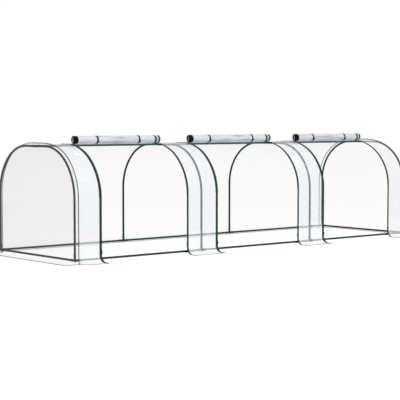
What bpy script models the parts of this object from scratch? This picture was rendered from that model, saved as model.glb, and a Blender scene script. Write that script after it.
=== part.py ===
"""Row cover tunnel: a clear film cover over a hooped steel tube frame.

Metres, +Z up. The origin lies on the ground under the middle of the tunnel, +X runs
along the ridge, and the three windows, rolled up on top, face -Y, the near side.
"""
from math import asin, cos, pi, sin, sqrt

import bmesh
import bpy
from mathutils import Matrix, Vector

COLLECTION_NAME = "row_cover_tunnel"

# Frame, between tube centre lines; the base rails' centre line lies RAIL_HEIGHT above the ground
FRAME_LENGTH = 3.5
FRAME_WIDTH = 1.0
FRAME_HEIGHT = 0.8
SHOULDER_RADIUS = 0.365
RAIL_HEIGHT = 0.027
HOOP_COUNT = 4

# Steel tubes
TUBE_RADIUS = 0.008
TUBE_WALL = 0.0012

# Moulded joints that hold the tube ends in sockets
SOCKET_CLEARANCE = 0.0003
SOCKET_WALL = 0.0014
SOCKET_REACH = 0.04
SOCKET_STOP = 0.013
HUB_SHOULDER = 0.0002
FOOT_RADIUS = 0.0065

# Running gaps and cutter overrun
PIECE_GAP = 0.0003
CUT_OVERRUN = 0.002

# Film cover
FILM_THICKNESS = 0.0016
FILM_CLEARANCE = 0.0005
SKIRT_BEND = 0.057
SKIRT_FLAT = 0.038
CORNER_REACH_SHARE = 0.5

# Piping where each end panel is joined to the arched cover
PIPING_RADIUS = 0.0018
PIPING_INSET = 0.027

# Windows: the strips of film that stay between them
END_STRIP_WIDTH = 0.2245
INNER_STRIP_WIDTH = 0.308

# Zip halves that stay on the strips
ZIP_TAPE_THICKNESS = 0.0012
ZIP_LEFT_TAPE_WIDTH = 0.017
ZIP_RIGHT_TAPE_WIDTH = 0.013
ZIP_CHAIN_WIDTH = 0.004
ZIP_CHAIN_THICKNESS = 0.002
ZIP_RIDGE_DISTANCE = 0.012
ZIP_END_MARGIN = 0.003
ZIP_BOX_LENGTH = 0.028
ZIP_BOX_HEIGHT = 0.013

# Zip sliders with their pulls
SLIDER_CLEARANCE = 0.0004
SLIDER_PLATE = 0.0012
SLIDER_WIDTH = 0.009
SLIDER_HEIGHT = 0.014
SLIDER_REST_HEIGHT = 0.082
PULL_LENGTH = 0.022
PULL_WIDTH = 0.005
PULL_THICKNESS = 0.0016
PULL_OVERLAP = 0.005

# Rolled window films, each a loose spiral
ROLL_RADIUS = 0.0305
ROLL_CORE_RADIUS = 0.006
ROLL_LAYER = 0.0018
ROLL_TURNS = 7
ROLL_OVERHANG = 0.004
ROLL_BEYOND_FLAT = 0.0265

# Tie straps round each roll
STRAP_WIDTH = 0.012
STRAP_THICKNESS = 0.0016
STRAP_INSET = 0.2

# Faceting and welding
WELD_DISTANCE = 0.00001
SMOOTH_ANGLE = pi / 5
SHOULDER_STEPS = 10
BEND_STEPS = 4
TUBE_BEVEL_RESOLUTION = 2
SOCKET_SIDES = 12
PIPING_BEVEL_RESOLUTION = 0
ROLL_STEPS_PER_TURN = 12
STRAP_SIDES = 16

# Worked out from the sizes above
HALF_LENGTH = FRAME_LENGTH / 2
HALF_WIDTH = FRAME_WIDTH / 2
BAY_COUNT = HOOP_COUNT - 1
BAY_LENGTH = FRAME_LENGTH / BAY_COUNT
HOOP_X = [BAY_LENGTH * index - HALF_LENGTH for index in range(HOOP_COUNT)]
RIDGE_HEIGHT = RAIL_HEIGHT + FRAME_HEIGHT
LEG_TOP = RIDGE_HEIGHT - SHOULDER_RADIUS
FLAT_HALF = HALF_WIDTH - SHOULDER_RADIUS
SOCKET_RADIUS = TUBE_RADIUS + SOCKET_CLEARANCE + SOCKET_WALL
HUB_HALF = SOCKET_RADIUS + HUB_SHOULDER
TUBE_SETBACK = SOCKET_STOP + PIECE_GAP
FILM_INNER = SOCKET_RADIUS + FILM_CLEARANCE
FILM_OUTER = FILM_INNER + FILM_THICKNESS
BEND_TOP = FILM_THICKNESS + SKIRT_BEND
TAPE_INNER = FILM_OUTER + PIECE_GAP
TAPE_OUTER = TAPE_INNER + ZIP_TAPE_THICKNESS
CHAIN_OUTER = TAPE_INNER + ZIP_CHAIN_THICKNESS
SEAM_X = HALF_LENGTH - PIPING_INSET
SHEET_END_X = SEAM_X - PIPING_RADIUS - PIECE_GAP
FILM_SETBACK = SLIDER_WIDTH / 2 + PIECE_GAP
STRAP_INNER = (ROLL_RADIUS + PIECE_GAP) / cos(pi / STRAP_SIDES)
STRAP_OUTER = STRAP_INNER + STRAP_THICKNESS
ROLL_PITCH = (ROLL_RADIUS - ROLL_CORE_RADIUS - ROLL_LAYER) / ROLL_TURNS
ROLL_STANDOFF = max(CHAIN_OUTER - FILM_OUTER, STRAP_OUTER - ROLL_RADIUS) + PIECE_GAP
ROLL_ORBIT = SHOULDER_RADIUS + FILM_OUTER + ROLL_STANDOFF + ROLL_RADIUS
ROLL_TILT = asin(ROLL_BEYOND_FLAT / ROLL_ORBIT)
ROLL_Y = -FLAT_HALF - ROLL_BEYOND_FLAT
ROLL_Z = LEG_TOP + ROLL_ORBIT * cos(ROLL_TILT)
ROLL_AXIS = Vector((0, -FLAT_HALF, LEG_TOP))


def clear_scene():
    """Remove every object, so the model starts from nothing."""
    for thing in list(bpy.data.objects):
        bpy.data.objects.remove(thing, do_unlink=True)


def make_collection():
    """Return the collection that holds the tunnel's pieces."""
    collection = bpy.data.collections.new(COLLECTION_NAME)
    bpy.context.scene.collection.children.link(collection)
    return collection


def make_material(name, colour, roughness, metallic=0.0, alpha=1.0):
    """Return a Principled material with one plain colour."""
    material = bpy.data.materials.new(name)
    material.use_nodes = True
    shader = material.node_tree.nodes["Principled BSDF"]
    shader.inputs["Base Color"].default_value = (*colour, 1.0)
    shader.inputs["Roughness"].default_value = roughness
    shader.inputs["Metallic"].default_value = metallic
    shader.inputs["Alpha"].default_value = alpha
    material.diffuse_color = (*colour, alpha)
    return material


def add_object(name, data, material, collection):
    """Link a new object with one material and return it."""
    piece = bpy.data.objects.new(name, data)
    data.materials.clear()
    data.materials.append(material)
    collection.objects.link(piece)
    return piece


def shade_round(piece):
    """Shade a mesh smooth, but keep its corners sharp."""
    piece.data.shade_smooth()
    piece.data.set_sharp_from_angle(angle=SMOOTH_ANGLE)


def plain_mesh(piece):
    """Turn an object into a welded mesh with its modifiers applied, and return it."""
    bpy.context.view_layer.update()
    graph = bpy.context.evaluated_depsgraph_get()
    mesh = bpy.data.meshes.new_from_object(piece.evaluated_get(graph))
    shape = bmesh.new()
    shape.from_mesh(mesh)
    bmesh.ops.remove_doubles(shape, verts=shape.verts, dist=WELD_DISTANCE)
    bmesh.ops.recalc_face_normals(shape, faces=shape.faces)
    shape.to_mesh(mesh)
    shape.free()
    solid = bpy.data.objects.new(piece.name, mesh)
    solid.matrix_world = piece.matrix_world
    for owner in piece.users_collection:
        owner.objects.link(solid)
    name = piece.name
    bpy.data.objects.remove(piece, do_unlink=True)
    solid.name = name
    return solid


def combine(piece, tools, operation):
    """Join the tool solids to a mesh, or cut them from it, and remove the tools."""
    for tool in tools:
        modifier = piece.modifiers.new(operation.lower(), "BOOLEAN")
        modifier.operation = operation
        modifier.solver = "EXACT"
        modifier.object = tool
    solid = plain_mesh(piece)
    for tool in tools:
        bpy.data.objects.remove(tool, do_unlink=True)
    return solid


def extrude_outline(name, outline, low, high, material, collection):
    """Extrude a closed outline of (y, z) points along X, from low to high."""
    curve = bpy.data.curves.new(name, "CURVE")
    curve.dimensions = "2D"
    curve.fill_mode = "BOTH"
    curve.extrude = (high - low) / 2
    add_polyline(curve, [(y, z, 0) for y, z in outline], closed=True)
    piece = add_object(name, curve, material, collection)
    piece.rotation_euler = (pi / 2, 0, pi / 2)
    piece.location.x = (low + high) / 2
    return piece


def add_polyline(curve, points, closed=False):
    """Add one straight-sided spline to a curve."""
    spline = curve.splines.new("POLY")
    spline.points.add(len(points) - 1)
    for target, point in zip(spline.points, points):
        target.co = (*point, 1)
    spline.use_cyclic_u = closed


def make_rod(name, points, radius, resolution, capped, material, collection):
    """Return a round rod or open tube surface along 3D points."""
    curve = bpy.data.curves.new(name, "CURVE")
    curve.dimensions = "3D"
    curve.bevel_depth = radius
    curve.bevel_resolution = resolution
    curve.use_fill_caps = capped
    add_polyline(curve, points)
    return add_object(name, curve, material, collection)


def make_tube(name, points, material, collection):
    """Return a hollow steel tube along 3D points, open at both ends."""
    surface = make_rod(name, points, TUBE_RADIUS, TUBE_BEVEL_RESOLUTION, False, material, collection)
    wall = surface.modifiers.new("wall", "SOLIDIFY")
    wall.thickness = TUBE_WALL
    wall.offset = -1
    tube = plain_mesh(surface)
    shade_round(tube)
    return tube


def make_cylinder(name, axis, low, high, radius, sides, material, collection):
    """Return a cylinder that runs from low to high along a row axis through the origin."""
    mesh = bpy.data.meshes.new(name)
    shape = bmesh.new()
    turn = Vector((0, 0, 1)).rotation_difference(axis).to_matrix().to_4x4()
    place = Matrix.Translation(axis * ((low + high) / 2)) @ turn
    bmesh.ops.create_cone(shape, cap_ends=True, segments=sides, radius1=radius, radius2=radius,
                          depth=high - low, matrix=place)
    shape.to_mesh(mesh)
    shape.free()
    return add_object(name, mesh, material, collection)


def make_box(name, low, high, material, collection):
    """Return a box between two corners."""
    mesh = bpy.data.meshes.new(name)
    shape = bmesh.new()
    low_corner = Vector(low)
    size = Vector(high) - low_corner
    place = Matrix.Translation(low_corner + size / 2) @ Matrix.Diagonal((*size, 1))
    bmesh.ops.create_cube(shape, size=1, matrix=place)
    shape.to_mesh(mesh)
    shape.free()
    return add_object(name, mesh, material, collection)


def shoulder_points(offset, side):
    """Points (y, z) on one shoulder, from its leg to the flat top, outside the tube's centre line."""
    radius = SHOULDER_RADIUS + offset
    angles = [pi / 2 * step / SHOULDER_STEPS for step in range(SHOULDER_STEPS + 1)]
    if offset and side < 0:
        angles.append(pi / 2 - ROLL_TILT)
        angles.sort()
    points = []
    for angle in angles:
        points.append((side * (FLAT_HALF + radius * cos(angle)), LEG_TOP + radius * sin(angle)))
    return points


def skirt_points(offset, side):
    """Points (y, z) on one side's skirt, from the hem on the ground up to where the leg starts."""
    centre = HALF_WIDTH + FILM_OUTER + SKIRT_BEND
    radius = SKIRT_BEND + FILM_OUTER - offset
    points = [(side * (centre + SKIRT_FLAT), BEND_TOP - radius)]
    for step in range(BEND_STEPS + 1):
        angle = pi / 2 * (1 - step / BEND_STEPS)
        points.append((side * (centre - radius * cos(angle)), BEND_TOP - radius * sin(angle)))
    return points


def near_side_points(offset):
    """Points (y, z) from the near hem up over the near shoulder to the flat top."""
    return skirt_points(offset, -1) + shoulder_points(offset, -1)


def far_side_points(offset):
    """Points (y, z) from the flat top down over the far shoulder to the far hem."""
    return shoulder_points(offset, 1)[::-1] + skirt_points(offset, 1)[::-1]


def window_span(index):
    """Return the X of a window's left and right zip chains."""
    left_strip = END_STRIP_WIDTH if index == 0 else INNER_STRIP_WIDTH / 2
    right_strip = END_STRIP_WIDTH if index == BAY_COUNT - 1 else INNER_STRIP_WIDTH / 2
    return HOOP_X[index] + left_strip, HOOP_X[index + 1] - right_strip


def build_hoops(steel, collection):
    """Build each hoop as a near and a far tube that meet at the ridge."""
    for index, x in enumerate(HOOP_X):
        for label, side in (("near", -1), ("far", 1)):
            leg_foot = (side * HALF_WIDTH, RAIL_HEIGHT + TUBE_SETBACK)
            flat_end = (side * TUBE_SETBACK, RIDGE_HEIGHT)
            route = [leg_foot, *shoulder_points(0, side), flat_end]
            make_tube(f"hoop_{index + 1}_{label}", [(x, y, z) for y, z in route], steel, collection)


def build_ridge_tubes(steel, collection):
    """Build the ridge tube of each bay."""
    for index in range(BAY_COUNT):
        start = (HOOP_X[index] + TUBE_SETBACK, 0, RIDGE_HEIGHT)
        end = (HOOP_X[index + 1] - TUBE_SETBACK, 0, RIDGE_HEIGHT)
        make_tube(f"ridge_tube_{index + 1}", [start, end], steel, collection)


def build_base_rails(steel, collection):
    """Build the rails along both sides and across both ends."""
    for label, side in (("near", -1), ("far", 1)):
        for index in range(BAY_COUNT):
            start = (HOOP_X[index] + TUBE_SETBACK, side * HALF_WIDTH, RAIL_HEIGHT)
            end = (HOOP_X[index + 1] - TUBE_SETBACK, side * HALF_WIDTH, RAIL_HEIGHT)
            make_tube(f"base_rail_{label}_{index + 1}", [start, end], steel, collection)
    reach = HALF_WIDTH - TUBE_SETBACK
    for label, x in (("left", -HALF_LENGTH), ("right", HALF_LENGTH)):
        ends = [(x, -reach, RAIL_HEIGHT), (x, reach, RAIL_HEIGHT)]
        make_tube(f"end_rail_{label}", ends, steel, collection)


def make_joint(name, place, arms, foot_length, plastic, collection):
    """Build a moulded joint with a socket along each arm, and a foot if it stands on the ground."""
    corner = Vector((HUB_HALF, HUB_HALF, HUB_HALF))
    hub = make_box(name, -corner, corner, plastic, collection)
    limbs = [make_cylinder("socket", arm, 0, SOCKET_REACH, SOCKET_RADIUS,
                           SOCKET_SIDES, plastic, collection) for arm in arms]
    if foot_length:
        down = Vector((0, 0, -1))
        limbs.append(make_cylinder("foot", down, 0, foot_length, FOOT_RADIUS,
                                   SOCKET_SIDES, plastic, collection))
    bore_radius = (TUBE_RADIUS + SOCKET_CLEARANCE) / cos(pi / SOCKET_SIDES)
    bores = [make_cylinder("bore", arm, SOCKET_STOP, SOCKET_REACH + CUT_OVERRUN, bore_radius,
                           SOCKET_SIDES, plastic, collection) for arm in arms]
    joint = combine(combine(hub, limbs, "UNION"), bores, "DIFFERENCE")
    joint.location = place
    shade_round(joint)


def along_arms(index):
    """Return the directions along X in which a hoop has a neighbour."""
    arms = []
    if index > 0:
        arms.append(Vector((-1, 0, 0)))
    if index < HOOP_COUNT - 1:
        arms.append(Vector((1, 0, 0)))
    return arms


def build_joints(plastic, collection):
    """Build the joints at the hoops' feet and at the ridge."""
    up = Vector((0, 0, 1))
    for index, x in enumerate(HOOP_X):
        at_end = index in (0, HOOP_COUNT - 1)
        for label, side in (("near", -1), ("far", 1)):
            arms = [*along_arms(index), up]
            if at_end:
                arms.append(Vector((0, -side, 0)))
            place = (x, side * HALF_WIDTH, RAIL_HEIGHT)
            make_joint(f"base_joint_{label}_{index + 1}", place, arms, RAIL_HEIGHT, plastic, collection)
        arms = [*along_arms(index), Vector((0, -1, 0)), Vector((0, 1, 0))]
        make_joint(f"ridge_joint_{index + 1}", (x, 0, RIDGE_HEIGHT), arms, 0, plastic, collection)


def build_rear_sheet(film, collection):
    """Build the sheet that runs from the near edge of the flat top over the far side to its hem."""
    outer = [(-FLAT_HALF + PIECE_GAP, RIDGE_HEIGHT + FILM_OUTER), *far_side_points(FILM_OUTER)]
    inner = [(-FLAT_HALF + PIECE_GAP, RIDGE_HEIGHT + FILM_INNER), *far_side_points(FILM_INNER)]
    extrude_outline("rear_sheet", outer + inner[::-1], -SHEET_END_X, SHEET_END_X, film, collection)


def build_front_strips(film, collection):
    """Build the strips that come down the near side between the windows."""
    outline = near_side_points(FILM_OUTER) + near_side_points(FILM_INNER)[::-1]
    edges = [-SHEET_END_X]
    for index in range(BAY_COUNT):
        left, right = window_span(index)
        edges += [left - FILM_SETBACK, right + FILM_SETBACK]
    edges.append(SHEET_END_X)
    for index in range(HOOP_COUNT):
        low, high = edges[2 * index:2 * index + 2]
        extrude_outline(f"front_strip_{index + 1}", outline, low, high, film, collection)


def corner_directions(side):
    """Directions in plan, and the share of the skirt's reach, round one corner of an end panel."""
    straight_out = Vector((0, side, 0))
    straight_end = Vector((1, 0, 0))
    diagonal = (straight_out + straight_end).normalized()
    return [(straight_out, 1), (diagonal, CORNER_REACH_SHARE), (straight_end, 1)]


def skirt_column(shape, top, direction, share):
    """Add a column of vertices down the skirt below a vertex and return it, the vertex first."""
    column = [top]
    for step in range(1, BEND_STEPS + 1):
        angle = pi / 2 * step / BEND_STEPS
        reach = SKIRT_BEND * (1 - cos(angle)) * share
        place = top.co + direction * reach
        place.z = BEND_TOP - SKIRT_BEND * sin(angle)
        column.append(shape.verts.new(place))
    hem = top.co + direction * ((SKIRT_BEND + SKIRT_FLAT) * share)
    hem.z = FILM_THICKNESS
    column.append(shape.verts.new(hem))
    return column


def end_panel_surface():
    """Return the outer surface of the panel at +X: D-shaped face, turned rim and skirt."""
    shape = bmesh.new()
    arch = [(-(HALF_WIDTH + FILM_OUTER), BEND_TOP), *shoulder_points(FILM_OUTER, -1)]
    arch += [*shoulder_points(FILM_OUTER, 1)[::-1], (HALF_WIDTH + FILM_OUTER, BEND_TOP)]
    face_x = HALF_LENGTH + FILM_OUTER
    face_ring = [shape.verts.new((face_x, y, z)) for y, z in arch]
    rim_ring = [shape.verts.new((SEAM_X, y, z)) for y, z in arch]
    shape.faces.new(face_ring)
    for index in range(len(arch) - 1):
        shape.faces.new((face_ring[index], face_ring[index + 1], rim_ring[index + 1], rim_ring[index]))
    near = corner_directions(-1)
    far = corner_directions(1)
    columns = [skirt_column(shape, rim_ring[0], *near[0])]
    columns += [skirt_column(shape, face_ring[0], *step) for step in near]
    columns += [skirt_column(shape, face_ring[-1], *step) for step in far[::-1]]
    columns.append(skirt_column(shape, rim_ring[-1], *far[0]))
    for left, right in zip(columns, columns[1:]):
        for row in range(len(left) - 1):
            corners = [left[row], right[row], right[row + 1], left[row + 1]]
            if corners[0] is corners[1]:
                corners.pop(0)
            shape.faces.new(corners)
    bmesh.ops.recalc_face_normals(shape, faces=shape.faces)
    mesh = bpy.data.meshes.new("end_panel")
    shape.to_mesh(mesh)
    shape.free()
    return mesh


def build_end_panels(film, collection):
    """Build both end panels, each with the piping that joins it to the arched cover."""
    piping_offset = FILM_OUTER + PIPING_RADIUS / 2
    route = near_side_points(piping_offset) + far_side_points(piping_offset)
    piping_route = [(SEAM_X, y, z) for y, z in route]
    for label, turn in (("right", 0), ("left", pi)):
        panel = add_object(f"end_panel_{label}", end_panel_surface(), film, collection)
        wall = panel.modifiers.new("film", "SOLIDIFY")
        wall.thickness = FILM_THICKNESS
        wall.offset = -1
        wall.use_even_offset = True
        panel = plain_mesh(panel)
        piping = plain_mesh(make_rod("piping", piping_route, PIPING_RADIUS, PIPING_BEVEL_RESOLUTION,
                                     True, film, collection))
        panel = combine(panel, [piping], "UNION")
        panel.rotation_euler.z = turn


def zip_outline(inner_offset, outer_offset, margin):
    """Outline of a zip seen from its end, from near the ridge down to the hem."""
    sides = []
    for offset in (inner_offset, outer_offset):
        points = near_side_points(offset)
        hem_y, hem_z = points[0]
        points[0] = (hem_y + margin, hem_z)
        points.append((-ZIP_RIDGE_DISTANCE - margin, RIDGE_HEIGHT + offset))
        sides.append(points)
    return sides[0] + sides[1][::-1]


def make_zip_box(chain_x, plastic, collection):
    """Return the box at the foot of a right-hand zip, between the skirt's bend and the base rail."""
    bend_reach = SKIRT_BEND - sqrt(SKIRT_BEND ** 2 - (BEND_TOP - RAIL_HEIGHT) ** 2)
    outer_y = -(HALF_WIDTH + CHAIN_OUTER + bend_reach)
    inner_y = -(HALF_WIDTH + SOCKET_RADIUS + PIECE_GAP)
    half_height = ZIP_BOX_HEIGHT / 2
    low = (chain_x - ZIP_BOX_LENGTH, outer_y, RAIL_HEIGHT - half_height)
    high = (chain_x + ZIP_CHAIN_WIDTH / 4, inner_y, RAIL_HEIGHT + half_height)
    return make_box("zip_box", low, high, plastic, collection)


def build_zips(tape, collection):
    """Build the half of each zip that stays on the strip, its chain towards the window."""
    for index in range(BAY_COUNT):
        left, right = window_span(index)
        for label, chain_x, inward in (("left", left, 1), ("right", right, -1)):
            width = ZIP_LEFT_TAPE_WIDTH if label == "left" else ZIP_RIGHT_TAPE_WIDTH
            ends = sorted((chain_x - inward * width, chain_x))
            name = f"zip_{index + 1}_{label}"
            band = plain_mesh(extrude_outline(name, zip_outline(TAPE_INNER, TAPE_OUTER, 0),
                                              *ends, tape, collection))
            chain_outline = zip_outline(TAPE_INNER, CHAIN_OUTER, ZIP_END_MARGIN)
            chain = plain_mesh(extrude_outline("chain", chain_outline, chain_x - ZIP_CHAIN_WIDTH / 2,
                                               chain_x + ZIP_CHAIN_WIDTH / 2, tape, collection))
            additions = [chain]
            if label == "right":
                additions.append(make_zip_box(chain_x, tape, collection))
            combine(band, additions, "UNION")


def build_sliders(metal, collection):
    """Build a slider and its pull on each zip, at the foot of the straight leg."""
    for index in range(BAY_COUNT):
        left, right = window_span(index)
        for label, chain_x, inward in (("left", left, 1), ("right", right, -1)):
            name = f"zip_slider_{index + 1}_{label}"
            make_slider(name, chain_x, inward, metal, collection)


def make_slider(name, chain_x, inward, metal, collection):
    """Build one slider: a channel round the chain, open towards the tape, with a hanging pull."""
    back = -(HALF_WIDTH + TAPE_INNER - SLIDER_CLEARANCE)
    front = -(HALF_WIDTH + CHAIN_OUTER + SLIDER_CLEARANCE)
    half_height = SLIDER_HEIGHT / 2
    half_width = SLIDER_WIDTH / 2
    low = (chain_x - half_width, front - SLIDER_PLATE, SLIDER_REST_HEIGHT - half_height)
    high = (chain_x + half_width, back + SLIDER_PLATE, SLIDER_REST_HEIGHT + half_height)
    body = make_box(name, low, high, metal, collection)
    wall_x = chain_x + inward * (ZIP_CHAIN_WIDTH / 2 + SLIDER_CLEARANCE)
    open_x = chain_x - inward * (half_width + CUT_OVERRUN)
    slot_low = (min(wall_x, open_x), front, low[2] - CUT_OVERRUN)
    slot_high = (max(wall_x, open_x), back, high[2] + CUT_OVERRUN)
    slot = make_box("slot", slot_low, slot_high, metal, collection)
    body = combine(body, [slot], "DIFFERENCE")
    pull_face = low[1] - PULL_THICKNESS
    pull_top = low[2] + PULL_OVERLAP
    pull_low = (chain_x - PULL_WIDTH / 2, pull_face, pull_top - PULL_LENGTH)
    pull_high = (chain_x + PULL_WIDTH / 2, low[1] + SLIDER_PLATE / 2, pull_top)
    pull = make_box("pull", pull_low, pull_high, metal, collection)
    slider = combine(body, [pull], "UNION")
    slider.name = name
    centre = Vector((chain_x, (low[1] + high[1]) / 2, SLIDER_REST_HEIGHT))
    slider.data.transform(Matrix.Translation(-centre))
    slider.location = centre


def roll_outline():
    """Outline of the rolled film seen from its end, wound from the ground side of the roll."""
    outer = []
    inner = []
    for step in range(ROLL_TURNS * ROLL_STEPS_PER_TURN + 1):
        turned = 2 * pi * step / ROLL_STEPS_PER_TURN
        radius = ROLL_RADIUS - ROLL_PITCH * step / ROLL_STEPS_PER_TURN
        angle = ROLL_TILT - pi / 2 - turned
        outer.append((radius * cos(angle), radius * sin(angle)))
        inner.append(((radius - ROLL_LAYER) * cos(angle), (radius - ROLL_LAYER) * sin(angle)))
    return outer + inner[::-1]


def move_to_axis(piece, y, z):
    """Shift an extruded piece to a place across the tunnel, its origin left on the roll's hinge axis."""
    solid = plain_mesh(piece)
    solid.data.transform(solid.matrix_world)
    solid.data.transform(Matrix.Translation(Vector((0, y, z)) - ROLL_AXIS))
    solid.matrix_world = Matrix.Translation(ROLL_AXIS)
    shade_round(solid)
    return solid


def build_rolls(film, collection):
    """Build the three rolled-up window films on top of the near shoulder."""
    for index in range(BAY_COUNT):
        left, right = window_span(index)
        roll = extrude_outline(f"window_roll_{index + 1}", roll_outline(), left - ROLL_OVERHANG,
                               right + ROLL_OVERHANG, film, collection)
        move_to_axis(roll, ROLL_Y, ROLL_Z)
    print("least gap between the turns of a roll:", round(ROLL_PITCH - ROLL_LAYER, 5), "m")


def strap_outline(radius):
    """Outline of a round strap."""
    points = []
    for step in range(STRAP_SIDES):
        angle = 2 * pi * step / STRAP_SIDES
        points.append((radius * cos(angle), radius * sin(angle)))
    return points


def build_straps(webbing, collection):
    """Build the two tie straps round each roll."""
    for index in range(BAY_COUNT):
        left, right = window_span(index)
        for label, centre in (("left", left + STRAP_INSET), ("right", right - STRAP_INSET)):
            strap = extrude_outline(f"tie_strap_{index + 1}_{label}", strap_outline(STRAP_OUTER),
                                    centre - STRAP_WIDTH / 2, centre + STRAP_WIDTH / 2,
                                    webbing, collection)
            hole = [(y, z, 0) for y, z in strap_outline(STRAP_INNER)]
            add_polyline(strap.data, hole, closed=True)
            move_to_axis(strap, ROLL_Y, ROLL_Z)


def main():
    """Build the whole tunnel."""
    clear_scene()
    collection = make_collection()
    steel = make_material("coated_steel", (0.035, 0.06, 0.052), 0.35, 0.4)
    plastic = make_material("joint_plastic", (0.02, 0.035, 0.03), 0.5)
    film = make_material("clear_film", (0.86, 0.88, 0.9), 0.15, alpha=0.35)
    rolled_film = make_material("rolled_film", (0.8, 0.83, 0.86), 0.2)
    tape = make_material("zip_tape", (0.03, 0.09, 0.075), 0.7)
    metal = make_material("slider_metal", (0.03, 0.035, 0.035), 0.3, 0.8)
    webbing = make_material("strap_webbing", (0.015, 0.02, 0.02), 0.8)
    build_hoops(steel, collection)
    build_ridge_tubes(steel, collection)
    build_base_rails(steel, collection)
    build_joints(plastic, collection)
    build_rear_sheet(film, collection)
    build_front_strips(film, collection)
    build_end_panels(film, collection)
    build_zips(tape, collection)
    build_sliders(metal, collection)
    build_rolls(rolled_film, collection)
    build_straps(webbing, collection)


main()
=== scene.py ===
"""Row cover tunnel: film, tubes, zips and rolled-up windows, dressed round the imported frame.

Metres, +Z up. +X runs along the ridge and the windows face -Y, as in the frame. Each
sub-assembly is a class with its own sizes, each finish is a small frozen dataclass, and
main() builds them in order.
"""
import logging
import math
from dataclasses import dataclass, field
from enum import Enum
from typing import Sequence

import bmesh
import bpy
import numpy as np
from mathutils import Matrix, Vector


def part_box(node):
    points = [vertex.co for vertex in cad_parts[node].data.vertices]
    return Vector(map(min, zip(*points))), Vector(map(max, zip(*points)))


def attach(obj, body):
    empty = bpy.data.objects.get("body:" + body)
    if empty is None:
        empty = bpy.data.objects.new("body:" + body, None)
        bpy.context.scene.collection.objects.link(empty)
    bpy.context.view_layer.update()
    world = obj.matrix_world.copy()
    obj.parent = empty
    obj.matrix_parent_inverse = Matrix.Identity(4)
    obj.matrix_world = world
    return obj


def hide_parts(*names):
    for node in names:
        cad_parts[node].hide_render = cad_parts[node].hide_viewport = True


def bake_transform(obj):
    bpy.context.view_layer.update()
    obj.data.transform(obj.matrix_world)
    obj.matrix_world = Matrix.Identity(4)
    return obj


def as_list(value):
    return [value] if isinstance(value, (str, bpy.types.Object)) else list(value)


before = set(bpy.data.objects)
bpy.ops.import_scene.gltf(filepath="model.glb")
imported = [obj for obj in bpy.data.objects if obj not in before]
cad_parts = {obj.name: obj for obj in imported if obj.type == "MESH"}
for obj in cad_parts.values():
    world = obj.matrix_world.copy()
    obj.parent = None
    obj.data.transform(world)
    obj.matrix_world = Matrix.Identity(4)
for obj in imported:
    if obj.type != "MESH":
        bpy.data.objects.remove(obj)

LOG = logging.getLogger("row_cover_tunnel")
ROOT_BODY = "frame_and_cover"
X_AXIS = np.array([1.0, 0.0, 0.0])
Y_AXIS = np.array([0.0, 1.0, 0.0])
Z_AXIS = np.array([0.0, 0.0, 1.0])
QUARTER = math.pi / 2
WHITE = (1.0, 1.0, 1.0, 1.0)

Pair = tuple[float, float]
Triple = tuple[float, float, float]
Colour = Triple
Piece = bpy.types.Object
Array = Points = Faces = np.ndarray


class Place(Enum):
    """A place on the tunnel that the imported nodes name."""

    @property
    def word(self) -> str:
        """The place's name as the nodes spell it."""
        return self.name.lower()


class Side(Place):
    """A side of the tunnel, valued as the sign of its Y."""

    NEAR = -1
    FAR = 1


class End(Place):
    """An end of the tunnel or of a window, valued as the sign of its X."""

    LEFT = -1
    RIGHT = 1


class Mapping(Enum):
    """The coordinates that a finish follows."""

    OBJECT = "Object"
    SURFACE = "UV"


class Value:
    """A shader value that Python's operators carry on with Math nodes."""

    def __init__(self, graph: "Graph", socket: bpy.types.NodeSocket) -> None:
        """Wrap a socket of a graph."""
        self.graph = graph
        self.socket = socket

    def math(self, operation: str, *others: "Value | float") -> "Value":
        """Return a Math node's result, with this value as its first input."""
        return self.graph.add("ShaderNodeMath", {"operation": operation}, dict(enumerate((self, *others))))

    def __add__(self, other: "Value | float") -> "Value":
        """Return the sum."""
        return self.math("ADD", other)

    __radd__ = __add__

    def __sub__(self, other: "Value | float") -> "Value":
        """Return the difference."""
        return self.math("SUBTRACT", other)

    def __rsub__(self, other: float) -> "Value":
        """Return a number minus this value."""
        return (self * -1.0).math("ADD", other)

    def __mul__(self, other: "Value | float") -> "Value":
        """Return the product."""
        return self.math("MULTIPLY", other)

    __rmul__ = __mul__

    def __pow__(self, power: float) -> "Value":
        """Return this value raised to a power."""
        return self.math("POWER", power)

    def clamped(self) -> "Value":
        """Return this value held between 0 and 1."""
        return self.math("MAXIMUM", 0.0).math("MINIMUM", 1.0)

    def between(self, low: float, high: float) -> "Value":
        """Return a smooth step of this value from 0 at low to 1 at high."""
        sockets = {"Value": self, "From Min": low, "From Max": high}
        return self.graph.add("ShaderNodeMapRange", {"interpolation_type": "SMOOTHSTEP"}, sockets)


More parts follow.
